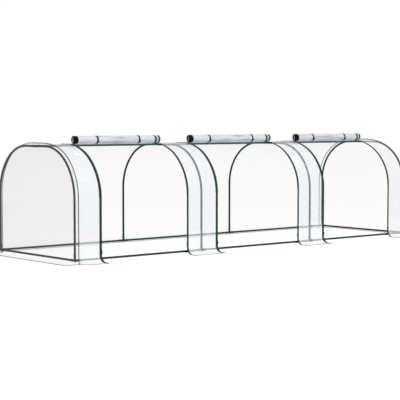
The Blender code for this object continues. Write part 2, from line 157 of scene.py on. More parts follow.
class Graph:
    """The node tree of one material or world, built through a single method."""

    def __init__(self, name: str, world: bool = False) -> None:
        """Make an empty material of that name, or an empty world."""
        self.owner = (bpy.data.worlds if world else bpy.data.materials).new(name)
        self.owner.use_nodes = True
        self.tree = self.owner.node_tree
        self.tree.nodes.clear()
        self.output_kind = "ShaderNodeOutputWorld" if world else "ShaderNodeOutputMaterial"

    def add(self, kind: str, settings: dict | None = None, sockets: dict | None = None, output: str | int = 0) -> Value:
        """Add a node, its settings first and then its sockets.

        Args:
            kind: the node's type.
            settings: its properties, with a ramp's stops under the key stops.
            sockets: its inputs by name or number, as values or plain numbers.
            output: the output to return, by name or number.

        Returns:
            That output.
        """
        node = self.tree.nodes.new(kind)
        for key, setting in (settings or {}).items():
            if key == "stops":
                self.set_stops(node.color_ramp, setting)
            else:
                setattr(node, key, setting)
        for key, value in (sockets or {}).items():
            if isinstance(value, Value):
                self.tree.links.new(value.socket, node.inputs[key])
            else:
                node.inputs[key].default_value = value
        return Value(self, node.outputs[output])

    @staticmethod
    def set_stops(ramp: bpy.types.ColorRamp, stops: Sequence[Pair]) -> None:
        """Give a ramp its grey stops, as pairs of place and level."""
        while len(ramp.elements) < len(stops):
            ramp.elements.new(0.5)
        for element, (place, level) in zip(ramp.elements, stops):
            element.position = place
            element.color = (level, level, level, 1.0)

    def coordinates(self, mapping: Mapping, stretch: Sequence[float] = (1.0, 1.0, 1.0)) -> Value:
        """Return the coordinates of a mapping, each axis multiplied by its stretch."""
        place = self.add("ShaderNodeTexCoord", output=mapping.value)
        return self.add("ShaderNodeMapping", {}, {"Vector": place, "Scale": tuple(stretch)})

    def axis(self, vector: Value, name: str) -> Value:
        """Return one component of a vector, X, Y or Z."""
        return self.add("ShaderNodeSeparateXYZ", {}, {"Vector": vector}, name)

    def noise(
        self, scale: float | Triple, detail: float = 2.0, roughness: float = 0.5, mapping: Mapping = Mapping.OBJECT
    ) -> Value:
        """Return smooth noise from 0 to 1, scaled alike or by its own number along each axis."""
        stretch = (scale,) * 3 if isinstance(scale, float) else scale
        sockets = {"Vector": self.coordinates(mapping, stretch), "Scale": 1.0}
        return self.add("ShaderNodeTexNoise", {}, sockets | {"Detail": detail, "Roughness": roughness})

    def creases(self, vector: Value, scale: float) -> Value:
        """Return thin folds: 1 on the borders of random cells and 0 inside them."""
        sockets = {"Vector": vector, "Scale": scale, "Randomness": 1.0}
        edge = self.add("ShaderNodeTexVoronoi", {"feature": "DISTANCE_TO_EDGE"}, sockets)
        return 1.0 - edge.between(0.0, 0.12)

    def attribute(self, name: str) -> Value:
        """Return a number stored on the mesh."""
        return self.add("ShaderNodeAttribute", {"attribute_name": name}, {}, "Fac")

    def blend_colours(self, factor: Value | float, low: Colour | Value, high: Colour | Value) -> Value:
        """Return a colour between two others."""
        ends = [colour if isinstance(colour, Value) else (*colour, 1.0) for colour in (low, high)]
        sockets = {0: factor, 6: ends[0], 7: ends[1]}
        return self.add("ShaderNodeMix", {"data_type": "RGBA"}, sockets, 2)

    def bump(self, height: Value, distance: float, strength: float = 1.0) -> Value:
        """Return a normal bent by a height, whose step from 0 to 1 is distance metres."""
        return self.add("ShaderNodeBump", {}, {"Height": height, "Distance": distance, "Strength": strength})

    def finish(self, **sockets: Value | float | tuple) -> bpy.types.Material:
        """Close the graph with one Principled shader, its inputs named with underscores for spaces."""
        named = {key.replace("_", " "): value for key, value in sockets.items()}
        self.add_output(self.add("ShaderNodeBsdfPrincipled", {}, named))
        return self.owner

    def add_output(self, shader: Value) -> None:
        """Send a shader to the output."""
        node = self.tree.nodes.new(self.output_kind)
        self.tree.links.new(shader.socket, node.inputs["Surface"])


@dataclass(frozen=True)
class FilmFinish:
    """Clear soft film: a thin milky veil with faint streaks, and whitish patches with creases on the near shoulders.

    Each face hides veil of what lies behind it, and more in streaks, in the whitish patches and where it is seen edge
    on, where it turns greyer too. The whitish patches are partly crease whitening and partly a painted highlight. The
    mesh number pale whitens the film as well: a milky foot on the cover, and a painted highlight along the end panels'
    rims.
    """

    name: str
    mapping: Mapping
    colour: Colour = (0.585, 0.61, 0.66)
    cloud_colour: Colour = (0.93, 0.94, 0.955)
    edge_colour: Colour = (0.34, 0.37, 0.42)
    veil: float = 0.14
    streak_share: float = 0.16
    cloud: float = 0.12
    edge_veil: float = 0.4
    roughness: float = 0.15
    streaks: Triple = (75.0, 0.9, 75.0)
    patch_scale: float = 13.0
    crease_scale: float = 24.0
    crease_depth: float = 0.0004
    slot: str = "clear_film"

    def make(self) -> bpy.types.Material:
        """Return the film's material."""
        graph = Graph(self.name)
        streak = graph.noise(self.streaks, 3.0, mapping=self.mapping)
        patch = graph.noise(self.patch_scale, 3.0, 0.6, self.mapping)
        # pale: the cover's milky foot, and a painted highlight along the end panels' rims. cloud: the near shoulders,
        # where the whitish patches are partly crease whitening and partly a painted highlight.
        pale = graph.attribute("pale")
        crease_and_highlight_mask = graph.attribute("cloud")
        crease = graph.creases(graph.coordinates(self.mapping), self.crease_scale) * crease_and_highlight_mask
        whitening_and_highlight = (patch.between(0.54, 0.66) * crease_and_highlight_mask * (0.7 + crease * 0.3) + pale).clamped()
        facing = graph.add("ShaderNodeLayerWeight", {}, {"Blend": 0.35}, "Facing")
        base = graph.attribute("veil") * self.veil
        veil = base * (1.0 - self.streak_share + streak * (2.0 * self.streak_share))
        alpha = veil + whitening_and_highlight * self.cloud + crease * (0.1 * self.veil) + facing**3.0 * self.edge_veil
        height = streak * 0.3 + crease * 0.5 + patch * crease_and_highlight_mask * 0.5
        tone = graph.blend_colours(whitening_and_highlight, self.colour, self.cloud_colour)
        return graph.finish(
            Base_Color=graph.blend_colours(facing.between(0.84, 0.96), tone, self.edge_colour),
            Roughness=self.roughness + patch * 0.06,
            Alpha=alpha.clamped(),
            Normal=graph.bump(height, self.crease_depth),
            IOR=1.46,
        )


@dataclass(frozen=True)
class RolledFilmFinish:
    """Film wound on itself: whitish layers with grey streaks of painted shade along the roll, most between the straps.
    """

    name: str
    colour: Colour = (0.69, 0.715, 0.755)
    shade_colour: Colour = (0.30, 0.33, 0.365)
    veil: float = 0.5
    roughness: float = 0.3
    streaks: Triple = (5.0, 70.0, 70.0)
    fold_depth: float = 0.0016
    slot: str = "rolled_film"

    def make(self) -> bpy.types.Material:
        """Return the rolled film's material."""
        graph = Graph(self.name)
        streak = graph.noise(self.streaks, 4.0, 0.62)
        broad = graph.noise((5.0, 22.0, 22.0))
        fine = graph.noise((40.0, 160.0, 160.0), 3.0)
        # shade: grey streaks of painted shade in the crumpled film, weighted by the crumple number.
        shade = streak.between(0.47, 0.68) * graph.attribute("crumple")
        return graph.finish(
            Base_Color=graph.blend_colours(shade, self.colour, self.shade_colour),
            Roughness=self.roughness + fine * 0.18,
            Alpha=(self.veil + broad * 0.3 + shade * 0.2).clamped(),
            Normal=graph.bump(streak * 0.7 + fine * 0.3, self.fold_depth),
            IOR=1.46,
        )


@dataclass(frozen=True)
class CoatedSteelFinish:
    """Steel tube in a dark green plastic coating, rubbed a little towards its ends."""

    name: str = "coated_steel"
    colour: Colour = (0.006, 0.030, 0.025)
    rubbed_colour: Colour = (0.035, 0.085, 0.075)
    roughness: float = 0.34
    slot: str = "steel_tube"

    def make(self) -> bpy.types.Material:
        """Return the coated tube's material."""
        graph = Graph(self.name)
        cloud = graph.noise(6.0, 3.0)
        peel = graph.noise(420.0)
        scuff = graph.noise(60.0, 5.0, 0.7)
        rub = scuff.between(0.56, 0.7) * (0.15 + graph.attribute("rub") * 0.85)
        return graph.finish(
            Base_Color=graph.blend_colours((rub + cloud * 0.12).clamped(), self.colour, self.rubbed_colour),
            Roughness=self.roughness + cloud * 0.08 + rub * 0.2,
            Normal=graph.bump(peel, 0.00006),
            Specular_IOR_Level=0.25,
            IOR=1.33,
        )


@dataclass(frozen=True)
class MouldedPlasticFinish:
    """Injection-moulded plastic with a fine grain."""

    name: str
    colour: Colour
    pale_colour: Colour
    roughness: float = 0.42
    slot: str = "joint_plastic"
    gloss: float = 0.3

    def make(self) -> bpy.types.Material:
        """Return the plastic's material."""
        graph = Graph(self.name)
        grain = graph.noise(900.0)
        cloud = graph.noise(25.0, 3.0)
        return graph.finish(
            Base_Color=graph.blend_colours(cloud * 0.5, self.colour, self.pale_colour),
            Roughness=self.roughness + cloud * 0.12,
            Normal=graph.bump(grain, 0.00008),
            Specular_IOR_Level=self.gloss,
            IOR=1.47,
        )


@dataclass(frozen=True)
class ClearPlasticFinish:
    """Clear moulded plastic, faintly milky, with scuffs."""

    name: str = "foot_plastic"
    colour: Colour = (0.86, 0.88, 0.89)
    veil: float = 0.12
    slot: str = "joint_plastic"

    def make(self) -> bpy.types.Material:
        """Return the clear plastic's material."""
        graph = Graph(self.name)
        scuff = graph.noise(180.0, 4.0, 0.6).between(0.5, 0.7)
        return graph.finish(
            Base_Color=(*self.colour, 1.0),
            Roughness=0.12 + scuff * 0.3,
            Alpha=(self.veil + scuff * 0.12).clamped(),
            IOR=1.49,
        )


@dataclass(frozen=True)
class WovenTapeFinish:
    """Woven tape: ribs across it, warp threads along it, and rows of stitches near its edges.

    The surface coordinates are metres across (U) and along (V).
    """

    name: str
    colour: Colour
    light_colour: Colour
    slot: str
    rib_pitch: float = 0.0011
    warp_pitch: float = 0.0008
    stitch_pitch: float = 0.0034
    depth: float = 0.00012

    def make(self) -> bpy.types.Material:
        """Return the tape's material."""
        graph = Graph(self.name)
        surface = graph.coordinates(Mapping.SURFACE)
        along = graph.axis(surface, "Y")
        across = graph.axis(surface, "X")
        rib = (along * (math.tau / self.rib_pitch) + across * (math.pi / self.warp_pitch)).math("SINE")
        warp = (across * (math.tau / self.warp_pitch)).math("SINE")
        weave = (rib * 0.5 + warp * 0.3) * 0.5 + 0.5
        dash = (along * (math.tau / self.stitch_pitch)).math("SINE").between(-0.3, 0.2)
        stitch = dash * graph.attribute("stitch").between(0.5, 0.9)
        fade = graph.noise(14.0, 3.0)
        tone = (weave * 0.45 + fade * 0.35 + stitch * 0.6).clamped()
        return graph.finish(
            Base_Color=graph.blend_colours(tone, self.colour, self.light_colour),
            Roughness=0.62 + fade * 0.2,
            Normal=graph.bump(weave + stitch, self.depth),
            Sheen_Weight=0.03,
            Specular_IOR_Level=0.1,
            IOR=1.3,
        )


@dataclass(frozen=True)
class EnamelFinish:
    """Die-cast metal under black enamel, worn to bare metal in small specks."""

    name: str = "black_enamel"
    colour: Colour = (0.012, 0.015, 0.015)
    worn_colour: Colour = (0.33, 0.34, 0.34)
    slot: str = "slider_metal"

    def make(self) -> bpy.types.Material:
        """Return the enamelled metal's material."""
        graph = Graph(self.name)
        speck = graph.noise(700.0, 4.0, 0.65)
        worn = speck.between(0.6, 0.7) * graph.attribute("worn")
        return graph.finish(
            Base_Color=graph.blend_colours(worn, self.colour, self.worn_colour),
            Metallic=worn * 0.9,
            Roughness=0.28 + speck * 0.2,
            Normal=graph.bump(speck, 0.00005),
            IOR=1.5,
        )


def smooth_step(share: Array) -> Array:
    """Return 3 t^2 - 2 t^3 of each share, held between 0 and 1."""
    held = np.clip(share, 0.0, 1.0)
    return held * held * (3.0 - 2.0 * held)


def bell(distance: Array, width: float) -> Array:
    """Return exp(-(distance / width)^2)."""
    return np.exp(-np.square(distance / width))


def unit(vectors: Array) -> Array:
    """Return vectors divided by their lengths."""
    return vectors / np.linalg.norm(vectors, axis=-1, keepdims=True)


def run_length(line: Points) -> Array:
    """Return the length of a line up to each of its points."""
    return np.concatenate(([0.0], np.cumsum(np.linalg.norm(np.diff(line, axis=0), axis=1))))


def in_plane(x: float, route: Points) -> Points:
    """Return pairs of Y and Z as points in the plane at x."""
    return np.column_stack((np.full(len(route), x), route))


def wave_sum(first: Array, second: Array, seed: int, waves: int, shortest: float, longest: float) -> Array:
    """Return a smooth random field: sines of random direction, phase and wavelength, added up.

    Args:
        first: one coordinate.
        second: the other.
        seed: chooses the sines.
        waves: how many there are.
        shortest: the shortest wavelength.
        longest: the longest one.

    Returns:
        The field, about -1 to 1.
    """
    random = np.random.default_rng(seed)
    angles = random.uniform(0.0, math.pi, waves)
    phases = random.uniform(0.0, math.tau, waves)
    rates = math.tau / np.exp(random.uniform(math.log(shortest), math.log(longest), waves))
    turned = first[..., None] * np.cos(angles) + second[..., None] * np.sin(angles)
    return np.sin(turned * rates + phases).sum(axis=-1) * math.sqrt(2.0 / waves) * 0.6


def lay_out_steps(edges: Sequence[float], step: float) -> Array:
    """Return rising places that hit every edge, with even steps of at most step between."""
    parts = []
    for low, high in zip(edges, edges[1:]):
        count = max(1, math.ceil((high - low) / step))
        parts.append(np.linspace(low, high, count, endpoint=False))
    return np.concatenate((*parts, [edges[-1]]))


def grid_faces(rows: int, columns: int, wrap_rows: bool = False, wrap_columns: bool = False) -> Faces:
    """Return the quads of a grid of points, stored row by row.

    Args:
        rows: how many rows there are.
        columns: how many points each has.
        wrap_rows: whether the last row joins the first.
        wrap_columns: whether each row closes on itself.

    Returns:
        An array of four point numbers for each quad.
    """
    row = np.arange(rows if wrap_rows else rows - 1)[:, None]
    column = np.arange(columns if wrap_columns else columns - 1)[None, :]
    next_row, next_column = (row + 1) % rows, (column + 1) % columns
    corners = ((row, column), (row, next_column), (next_row, next_column), (next_row, column))
    return np.stack([down * columns + along for down, along in corners], axis=-1).reshape(-1, 4)


def sweep(path: Points, plane_normal: Array, profile: Points) -> Points:
    """Carry a profile along a path that lies in a plane.

    A ring is the path's point, plus the profile's first number times the in-plane normal
    of the path, plus its second number times the plane's own normal.

    Args:
        path: the path's points.
        plane_normal: its plane's normal.
        profile: pairs of numbers.

    Returns:
        A row of points for each point of the path.
    """
    tangent = unit(np.gradient(path, axis=0))
    inward = np.cross(np.broadcast_to(plane_normal, path.shape), tangent)
    return path[:, None] + profile[None, :, :1] * inward[:, None] + profile[None, :, 1:] * plane_normal


def circle(radius: float, sides: int) -> Points:
    """Return points on a circle, as pairs radius times cosine and sine of even angles."""
    angles = math.tau * np.arange(sides) / sides
    return radius * np.column_stack((np.cos(angles), np.sin(angles)))


def rounded_bar(thickness: float, low: float, high: float, corner_steps: int = 3) -> Points:
    """Return the outline of a flat bar with round edges.

    Two half circles, each turned from -90 to 90 degrees, close the bar's two ends.

    Args:
        thickness: its thickness, along the first number.
        low: where it starts, along the second.
        high: where it ends.
        corner_steps: steps in each half circle.

    Returns:
        The outline's pairs of numbers.
    """
    radius = thickness / 2
    angles = np.linspace(-QUARTER, QUARTER, corner_steps + 1)
    top = np.column_stack((radius * np.sin(angles), high - radius + radius * np.cos(angles)))
    bottom = np.column_stack((-radius * np.sin(angles), low + radius - radius * np.cos(angles)))
    return np.concatenate((top, bottom))


@dataclass
class Shape:
    """A mesh being put together: points, quads, round caps, surface coordinates and numbers.

    A quad that names one point twice is a triangle.
    """

    points: Points
    quads: Faces
    caps: list[Array] = field(default_factory=list)
    surface: Points | None = None
    numbers: dict[str, Array] = field(default_factory=dict)

    @classmethod
    def from_grid(cls, grid: Points, wrap_rows: bool = False, wrap_columns: bool = False) -> "Shape":
        """Return the shape of a grid of points, in rows that may join or close on themselves."""
        return cls(grid.reshape(-1, 3), grid_faces(*grid.shape[:2], wrap_rows, wrap_columns))

    @classmethod
    def closed(cls, rings: Points) -> "Shape":
        """Return the solid of a row of rings, capped at both ends, with its faces pointing out."""
        shape = cls.from_grid(rings, wrap_columns=True)
        first = np.arange(rings.shape[1])
        shape.caps = [first[::-1], first + (len(rings) - 1) * len(first)]
        return shape.outward()

    @classmethod
    def rod(cls, path: Points, plane_normal: Array, profile: Points) -> "Shape":
        """Return the solid that a profile makes along a path in a plane."""
        return cls.closed(sweep(path, plane_normal, profile))

    @classmethod
    def turned(cls, profile: Points, axis: Array, sides: int) -> "Shape":
        """Return the solid of an outline turned round an axis."""
        other = np.roll(axis, 1)
        ring = circle(1.0, sides) @ (other, np.cross(axis, other))
        return cls.closed(profile[:, :1, None] * ring[None] + profile[:, 1:, None] * axis)

    @classmethod
    def soft_box(cls, centre: Points, half: Sequence[float], squareness: float, rings: int = 10) -> "Shape":
        """Return a box with soft corners, closed by two poles.

        A sphere's cosines and sines are raised to the power 2 / squareness, signs kept, and
        multiplied by the box's half sizes.

        Args:
            centre: the box's middle.
            half: half its size along X, Y and Z.
            squareness: 2 for an ellipsoid, and a larger number for squarer corners.
            rings: rings from pole to pole.

        Returns:
            The closed shape, its caps as quads with a repeated point.
        """
        sides = 4 * rings
        rise = np.linspace(-QUARTER, QUARTER, rings + 1)[1:-1, None]
        turn = (math.tau * np.arange(sides) / sides)[None, :]
        waves = (np.cos(rise), np.sin(rise), np.cos(turn), np.sin(turn))
        wide, tall, across, along = (np.sign(wave) * np.abs(wave) ** (2.0 / squareness) for wave in waves)
        body = np.stack((wide * across, wide * along, tall + 0 * turn), axis=-1).reshape(-1, 3)
        points = np.concatenate((body, [-Z_AXIS, Z_AXIS])) * half + centre
        first = np.arange(sides)
        second = (first + 1) % sides
        south, north = np.full_like(first, len(body)), np.full_like(first, len(body) + 1)
        last = (rings - 2) * sides
        south_cap = np.column_stack((first, south, south, second))
        north_cap = np.column_stack((first + last, second + last, north, north))
        quads = grid_faces(rings - 1, sides, wrap_columns=True)
        return cls(points, np.concatenate((quads, south_cap, north_cap))).outward()

    def joined(self, other: "Shape") -> "Shape":
        """Return this shape and another, with the same kinds of numbers, as one."""
        shift = len(self.points)
        surface = None if self.surface is None else np.concatenate((self.surface, other.surface))
        numbers = {key: np.concatenate((mine, other.numbers[key])) for key, mine in self.numbers.items()}
        points = np.concatenate((self.points, other.points))
        quads = np.concatenate((self.quads, other.quads + shift))
        return Shape(points, quads, self.caps + [cap + shift for cap in other.caps], surface, numbers)

    def without_loose(self) -> "Shape":
        """Return this shape without the points that no quad uses."""
        used = np.unique(self.quads)
        number = np.full(len(self.points), -1)
        number[used] = np.arange(len(used))
        surface = None if self.surface is None else self.surface[used]
        numbers = {key: values[used] for key, values in self.numbers.items()}
        return Shape(self.points[used], number[self.quads], [], surface, numbers)

    def loops(self) -> list[Array]:
        """Return every face as its point numbers, each point named once."""
        repeated = (self.quads == np.roll(self.quads, -1, axis=1)).any(axis=1)
        narrow = [face[face != np.roll(face, -1)] for face in self.quads[repeated]]
        return list(self.quads[~repeated]) + narrow + self.caps

    def outward(self) -> "Shape":
        """Return a closed shape with its faces pointing out.

        The volume is the sum over the quads of the first corner's triple product with the
        quad's other corners, over six. Where it is negative, every face is turned round.
        """
        a, b, c, d = (self.points[self.quads[:, index]] for index in range(4))
        if (a * (np.cross(b, c) + np.cross(c, d))).sum() < 0:
            self.quads = self.quads[:, ::-1]
            self.caps = [cap[::-1] for cap in self.caps]
        return self

    def mesh(self, name: str, sharp_degrees: float | None = 40.0) -> bpy.types.Mesh:
        """Return the shape as a smooth-shaded mesh, its corners over sharp_degrees kept sharp."""
        faces = self.loops()
        counts = np.array([len(face) for face in faces])
        corners = np.concatenate(faces).astype(np.int32)
        mesh = bpy.data.meshes.new(name)
        mesh.vertices.add(len(self.points))
        mesh.vertices.foreach_set("co", self.points.astype(np.float32).ravel())
        mesh.loops.add(len(corners))
        mesh.loops.foreach_set("vertex_index", corners)
        mesh.polygons.add(len(faces))
        mesh.polygons.foreach_set("loop_start", (np.cumsum(counts) - counts).astype(np.int32))
        mesh.update(calc_edges=True)
        if self.surface is not None:
            layer = mesh.uv_layers.new(name="surface")
            layer.uv.foreach_set("vector", self.surface[corners].astype(np.float32).ravel())
        for key, numbers in self.numbers.items():
            stored = mesh.attributes.new(key, "FLOAT", "POINT")
            stored.data.foreach_set("value", numbers.astype(np.float32).ravel())
        mesh.shade_smooth()
        if sharp_degrees is not None:
            mesh.set_sharp_from_angle(angle=math.radians(sharp_degrees))
        mesh.validate()
        return mesh


def add_object(name: str, data: bpy.types.ID) -> Piece:
    """Make an object of a mesh, a lamp or a camera and put it in the scene."""
    thing = bpy.data.objects.new(name, data)
    bpy.context.scene.collection.objects.link(thing)
    return thing


def add_thickness(piece: Piece, thickness: float) -> None:
    """Give an open sheet its thickness, half to each side."""
    wall = piece.modifiers.new("thickness", "SOLIDIFY")
    wall.thickness = thickness
    wall.offset = 0.0
    wall.use_rim = True


def weld_mesh(mesh: bpy.types.Mesh, outward: Array) -> None:
    """Merge a sheet's double points and make its faces look one way.

    Args:
        mesh: the sheet, changed in place.
        outward: the direction in which its larger part has to look.
    """
    shape = bmesh.new()
    shape.from_mesh(mesh)
    bmesh.ops.remove_doubles(shape, verts=shape.verts, dist=1e-5)
    bmesh.ops.recalc_face_normals(shape, faces=shape.faces)
    if sum(face.calc_area() * face.normal.dot(Vector(outward)) for face in shape.faces) < 0.0:
        bmesh.ops.reverse_faces(shape, faces=shape.faces)
    shape.to_mesh(mesh)
    shape.free()


@dataclass(frozen=True)
class Finishes:
    """Every material of the tunnel, made once, each with the record's slot for it."""

    table: dict[str, tuple[bpy.types.Material, str]]

    @classmethod
    def make(cls) -> "Finishes":
        """Return the tunnel's materials by a plain name."""
        shade_black, dark = (0.001, 0.003, 0.003), (0.003, 0.004, 0.004)
        # The end panels' film is a darker grey than the cover's: painted shade on both end panels.
        shaded_end_look = {"veil": 0.072, "streak_share": 0.04, "cloud": 0.03, "edge_veil": 0.15}
        shaded_end_look |= {"colour": (0.32, 0.315, 0.31), "streaks": (9.0, 22.0, 1.1), "patch_scale": 6.0}
        webbing = {"rib_pitch": 0.0016, "warp_pitch": 0.0012, "depth": 0.0002}
        tape, plastic, steel = WovenTapeFinish, MouldedPlasticFinish, CoatedSteelFinish
        plan = {
            "cover": FilmFinish("cover_film", Mapping.SURFACE),
            "end": FilmFinish("end_film", Mapping.OBJECT, **shaded_end_look),
            "roll": RolledFilmFinish("rolled_window_film"),
            "tube": steel(),
            "hoop": steel("coated_hoop_steel", (0.003, 0.017, 0.014), (0.022, 0.06, 0.052)),
            "ridge": steel("coated_ridge_steel", (0.035, 0.08, 0.07), (0.09, 0.155, 0.14)),
            "joint": plastic("joint_plastic", (0.009, 0.021, 0.018), (0.022, 0.042, 0.037)),
            "foot": ClearPlasticFinish(),
            "box": plastic("zip_box_plastic", (0.001, 0.002, 0.002), dark, gloss=0.1),
            "tape": tape("zip_tape", (0.005, 0.020, 0.016), (0.022, 0.060, 0.050), "zip_tape"),
            # The rolled zip's tape and teeth are a near-black copy of the zip's own: painted shade in the roll's
            # windings.
            "rolled_tape": tape("rolled_zip_tape", shade_black, (0.005, 0.015, 0.013), "zip_tape"),
            # The right rolled tape is drawn lighter and tealer than the zip's own: a painted highlight, with a painted
            # veil of film that the roll does not have over it there.
            "veiled_tape": tape("veiled_zip_tape", (0.022, 0.05, 0.044), (0.085, 0.14, 0.13), "zip_tape"),
            "rolled_coil": plastic("rolled_zip_coil", shade_black, (0.004, 0.010, 0.009), 0.5, "zip_tape", 0.1),
            "coil": plastic("zip_coil", (0.003, 0.012, 0.010), (0.010, 0.032, 0.027), 0.4, "zip_tape", 0.1),
            "cord": plastic("hem_cord", (0.010, 0.022, 0.019), (0.028, 0.048, 0.043), 0.5, "clear_film", 0.1),
            "webbing": tape("strap_webbing", (0.003, 0.005, 0.005), (0.016, 0.02, 0.02), "strap_webbing", **webbing),
            "enamel": EnamelFinish(),
        }
        return cls({key: (finish.make(), finish.slot) for key, finish in plan.items()})

    def dress(
        self, name: str, shape: Shape | bpy.types.Mesh, finish: str, body: str | None = ROOT_BODY,
        stands_for: Sequence[str] = (), sharp: float | None = 40.0,
    ) -> Piece:
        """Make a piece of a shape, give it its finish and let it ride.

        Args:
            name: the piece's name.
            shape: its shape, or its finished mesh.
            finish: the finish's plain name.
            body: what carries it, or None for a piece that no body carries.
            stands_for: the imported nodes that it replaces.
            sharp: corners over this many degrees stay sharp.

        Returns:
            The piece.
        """
        mesh = shape.mesh(name, sharp) if isinstance(shape, Shape) else shape
        material, slot = self.table[finish]
        mesh.materials.append(material)
        piece = add_object(name, mesh)
        if body is not None:
            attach(piece, body)
        if stands_for:
            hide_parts(*stands_for)
        LOG.info("%s: %d faces, %s, on %s", name, len(mesh.polygons), finish, body or "two bodies")
        return piece


@dataclass(frozen=True)
class CrossSection:
    """The tunnel's section, from the middle of the ridge down one side to the hem."""

    half_width: float = 0.5
    shoulder_radius: float = 0.365
    ridge_height: float = 0.827
    film_offset: float = 0.011
    cover_face: float = 0.0118
    skirt_bend: float = 0.057
    skirt_flat: float = 0.038
    bend_top: float = 0.0586
    sag: float = 0.0075
    sag_reach: float = 0.12
    crown: float = 0.0085
    crown_reach: float = 0.2
    crown_edge: float = 0.55
    crown_length: float = 0.1
    seam_x: float = 1.7258
    seam_spread: float = 0.28
    spread_length: float = 0.05

    @property
    def flat_half(self) -> float:
        """Half the width of the flat top."""
        return self.half_width - self.shoulder_radius

    @property
    def leg_top(self) -> float:
        """The height at which the legs end and the shoulders start."""
        return self.ridge_height - self.shoulder_radius

    @property
    def breaks(self) -> Array:
        """Distances from the ridge, along the film, where the flat, shoulder, leg, bend and hem end."""
        shoulder = (self.shoulder_radius + self.film_offset) * QUARTER
        bend = (self.skirt_bend + self.cover_face - self.film_offset) * QUARTER
        return np.cumsum((self.flat_half, shoulder, self.leg_top - self.bend_top, bend, self.skirt_flat))

    @property
    def reach(self) -> float:
        """The distance from the ridge to the hem, along the film."""
        return float(self.breaks[-1])

    def arc(self, turn: Array) -> Points:
        """Return Y and Z on the far shoulder's centre line, at turns up from its leg."""
        return (self.flat_half, self.leg_top) + self.shoulder_radius * np.column_stack((np.cos(turn), np.sin(turn)))

    def angles(self, distance: Array) -> tuple[Array, Array]:
        """Return how far the shoulder and the skirt's bend have turned at each distance."""
        flat, shoulder, leg, bend, _ = self.breaks
        turned = np.clip((distance - flat) / (shoulder - flat), 0.0, 1.0) * QUARTER
        bent = np.clip((distance - leg) / (bend - leg), 0.0, 1.0) * QUARTER
        return turned, bent

    def rise(self, distance: Array, x: Array | float) -> Array:
        """Return how far the film rises over the flat top: a plateau with smooth edges.

        The crown is full at the end seams and falls to nothing away from them, by a bell.
        """
        share = np.clip(np.abs(distance) / self.crown_reach, 0.0, 1.0)
        near_end = np.where(np.abs(x) > self.seam_x, 1.0, bell(np.abs(x) - self.seam_x, self.crown_length))
        return self.crown * near_end * smooth_step((1.0 - share) / self.crown_edge)

    def spread(self, x: Array | float) -> Array:
        """Return the share of the skirt's reach at x: small at the end seams and 1 away from them."""
        away = smooth_step((self.seam_x - np.abs(x)) / self.spread_length)
        return self.seam_spread + (1.0 - self.seam_spread) * away

    def place(
        self, distance: Array, offset: Array | float, side: Side, x: Array | float = 0.0
    ) -> tuple[Points, Points]:
        """Return Y and Z at distances from the ridge, offset outwards from the tubes' centre line.

        Y adds up the flat, the shoulder's radius times the sine of its turn, the bend's
        radius times one minus the cosine of its own, and the skirt; Z is the leg's top, plus
        the shoulder's radius times the cosine, minus the leg and the bend's radius times
        the sine. The crown lifts the flat. The offset follows the outward normal.

        Args:
            distance: distances from the ridge along the film.
            offset: how far outside the centre line.
            side: the near or the far side.
            x: the place along the tunnel.

        Returns:
            The two coordinates.
        """
        flat, shoulder, leg, bend, _ = self.breaks
        turned, bent = self.angles(distance)
        down = np.clip(distance - shoulder, 0.0, leg - shoulder)
        out = np.maximum(distance - bend, 0.0)
        bend_radius = self.skirt_bend + self.cover_face
        across = np.minimum(distance, flat) + self.shoulder_radius * np.sin(turned)
        across = across + (bend_radius * (1.0 - np.cos(bent)) + out) * self.spread(x)
        height = self.leg_top + self.shoulder_radius * np.cos(turned) - down - bend_radius * np.sin(bent)
        height = height + self.rise(distance, x)
        normal_across = np.sin(turned) * np.cos(bent)
        normal_up = np.cos(turned) + np.sin(bent)
        return side.value * (across + offset * normal_across), height + offset * normal_up

    def slack(self, distance: Array, from_hoop: Array | float) -> Array:
        """Return how far the film hangs in over the shoulders: nothing at a hoop, most away from it.

        The sag times one minus the bell of the way to the nearest hoop, times a smooth rise
        from the flat top's edge and a smooth fall before the leg.
        """
        flat, shoulder, *_ = self.breaks
        rise = smooth_step((distance - flat) / 0.15)
        fall = 1.0 - smooth_step((distance - shoulder + 0.3) / 0.27)
        return self.sag * (1.0 - bell(from_hoop, self.sag_reach)) * rise * fall

    def path(self, x: float, distance: Array, offset: Array | float, side: Side) -> Points:
        """Return points of the section in the plane at x."""
        return in_plane(x, np.column_stack(self.place(distance, offset, side, x)))


def middle(node: str) -> Array:
    """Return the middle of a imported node's box."""
    return np.mean([tuple(corner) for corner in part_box(node)], axis=0)


@dataclass(frozen=True)
class Layout:
    """Places along the tunnel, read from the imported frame."""

    hoop_x: Array
    windows: list[Pair]
    rolls: list[Pair]
    roll_centre: Array
    strap_x: list[Pair]
    rail_height: float

    @classmethod
    def from_frame(cls) -> "Layout":
        """Read the hoops, zips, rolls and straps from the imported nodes."""
        numbers = range(1, 4)
        return cls(
            hoop_x=np.array([middle(f"hoop_{index}_near")[0] for index in (*numbers, 4)]),
            windows=[tuple(middle(f"zip_slider_{index}_{end.word}")[0] for end in End) for index in numbers],
            rolls=[tuple(corner.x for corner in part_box(f"window_roll_{index}")) for index in numbers],
            roll_centre=middle("tie_strap_1_left")[1:],
            strap_x=[tuple(middle(f"tie_strap_{index}_{end.word}")[0] for end in End) for index in numbers],
            rail_height=middle("base_rail_near_1")[2],
        )

    def near_hoops(self, x: Array, width: float) -> Array:
        """Return bells of some width round the hoops, added up."""
        return sum(bell(x - hoop, width) for hoop in self.hoop_x)


@dataclass
class Assembly:
    """A part of the tunnel: where its pieces go, the section they follow and their materials."""

    layout: Layout
    section: CrossSection
    finishes: Finishes


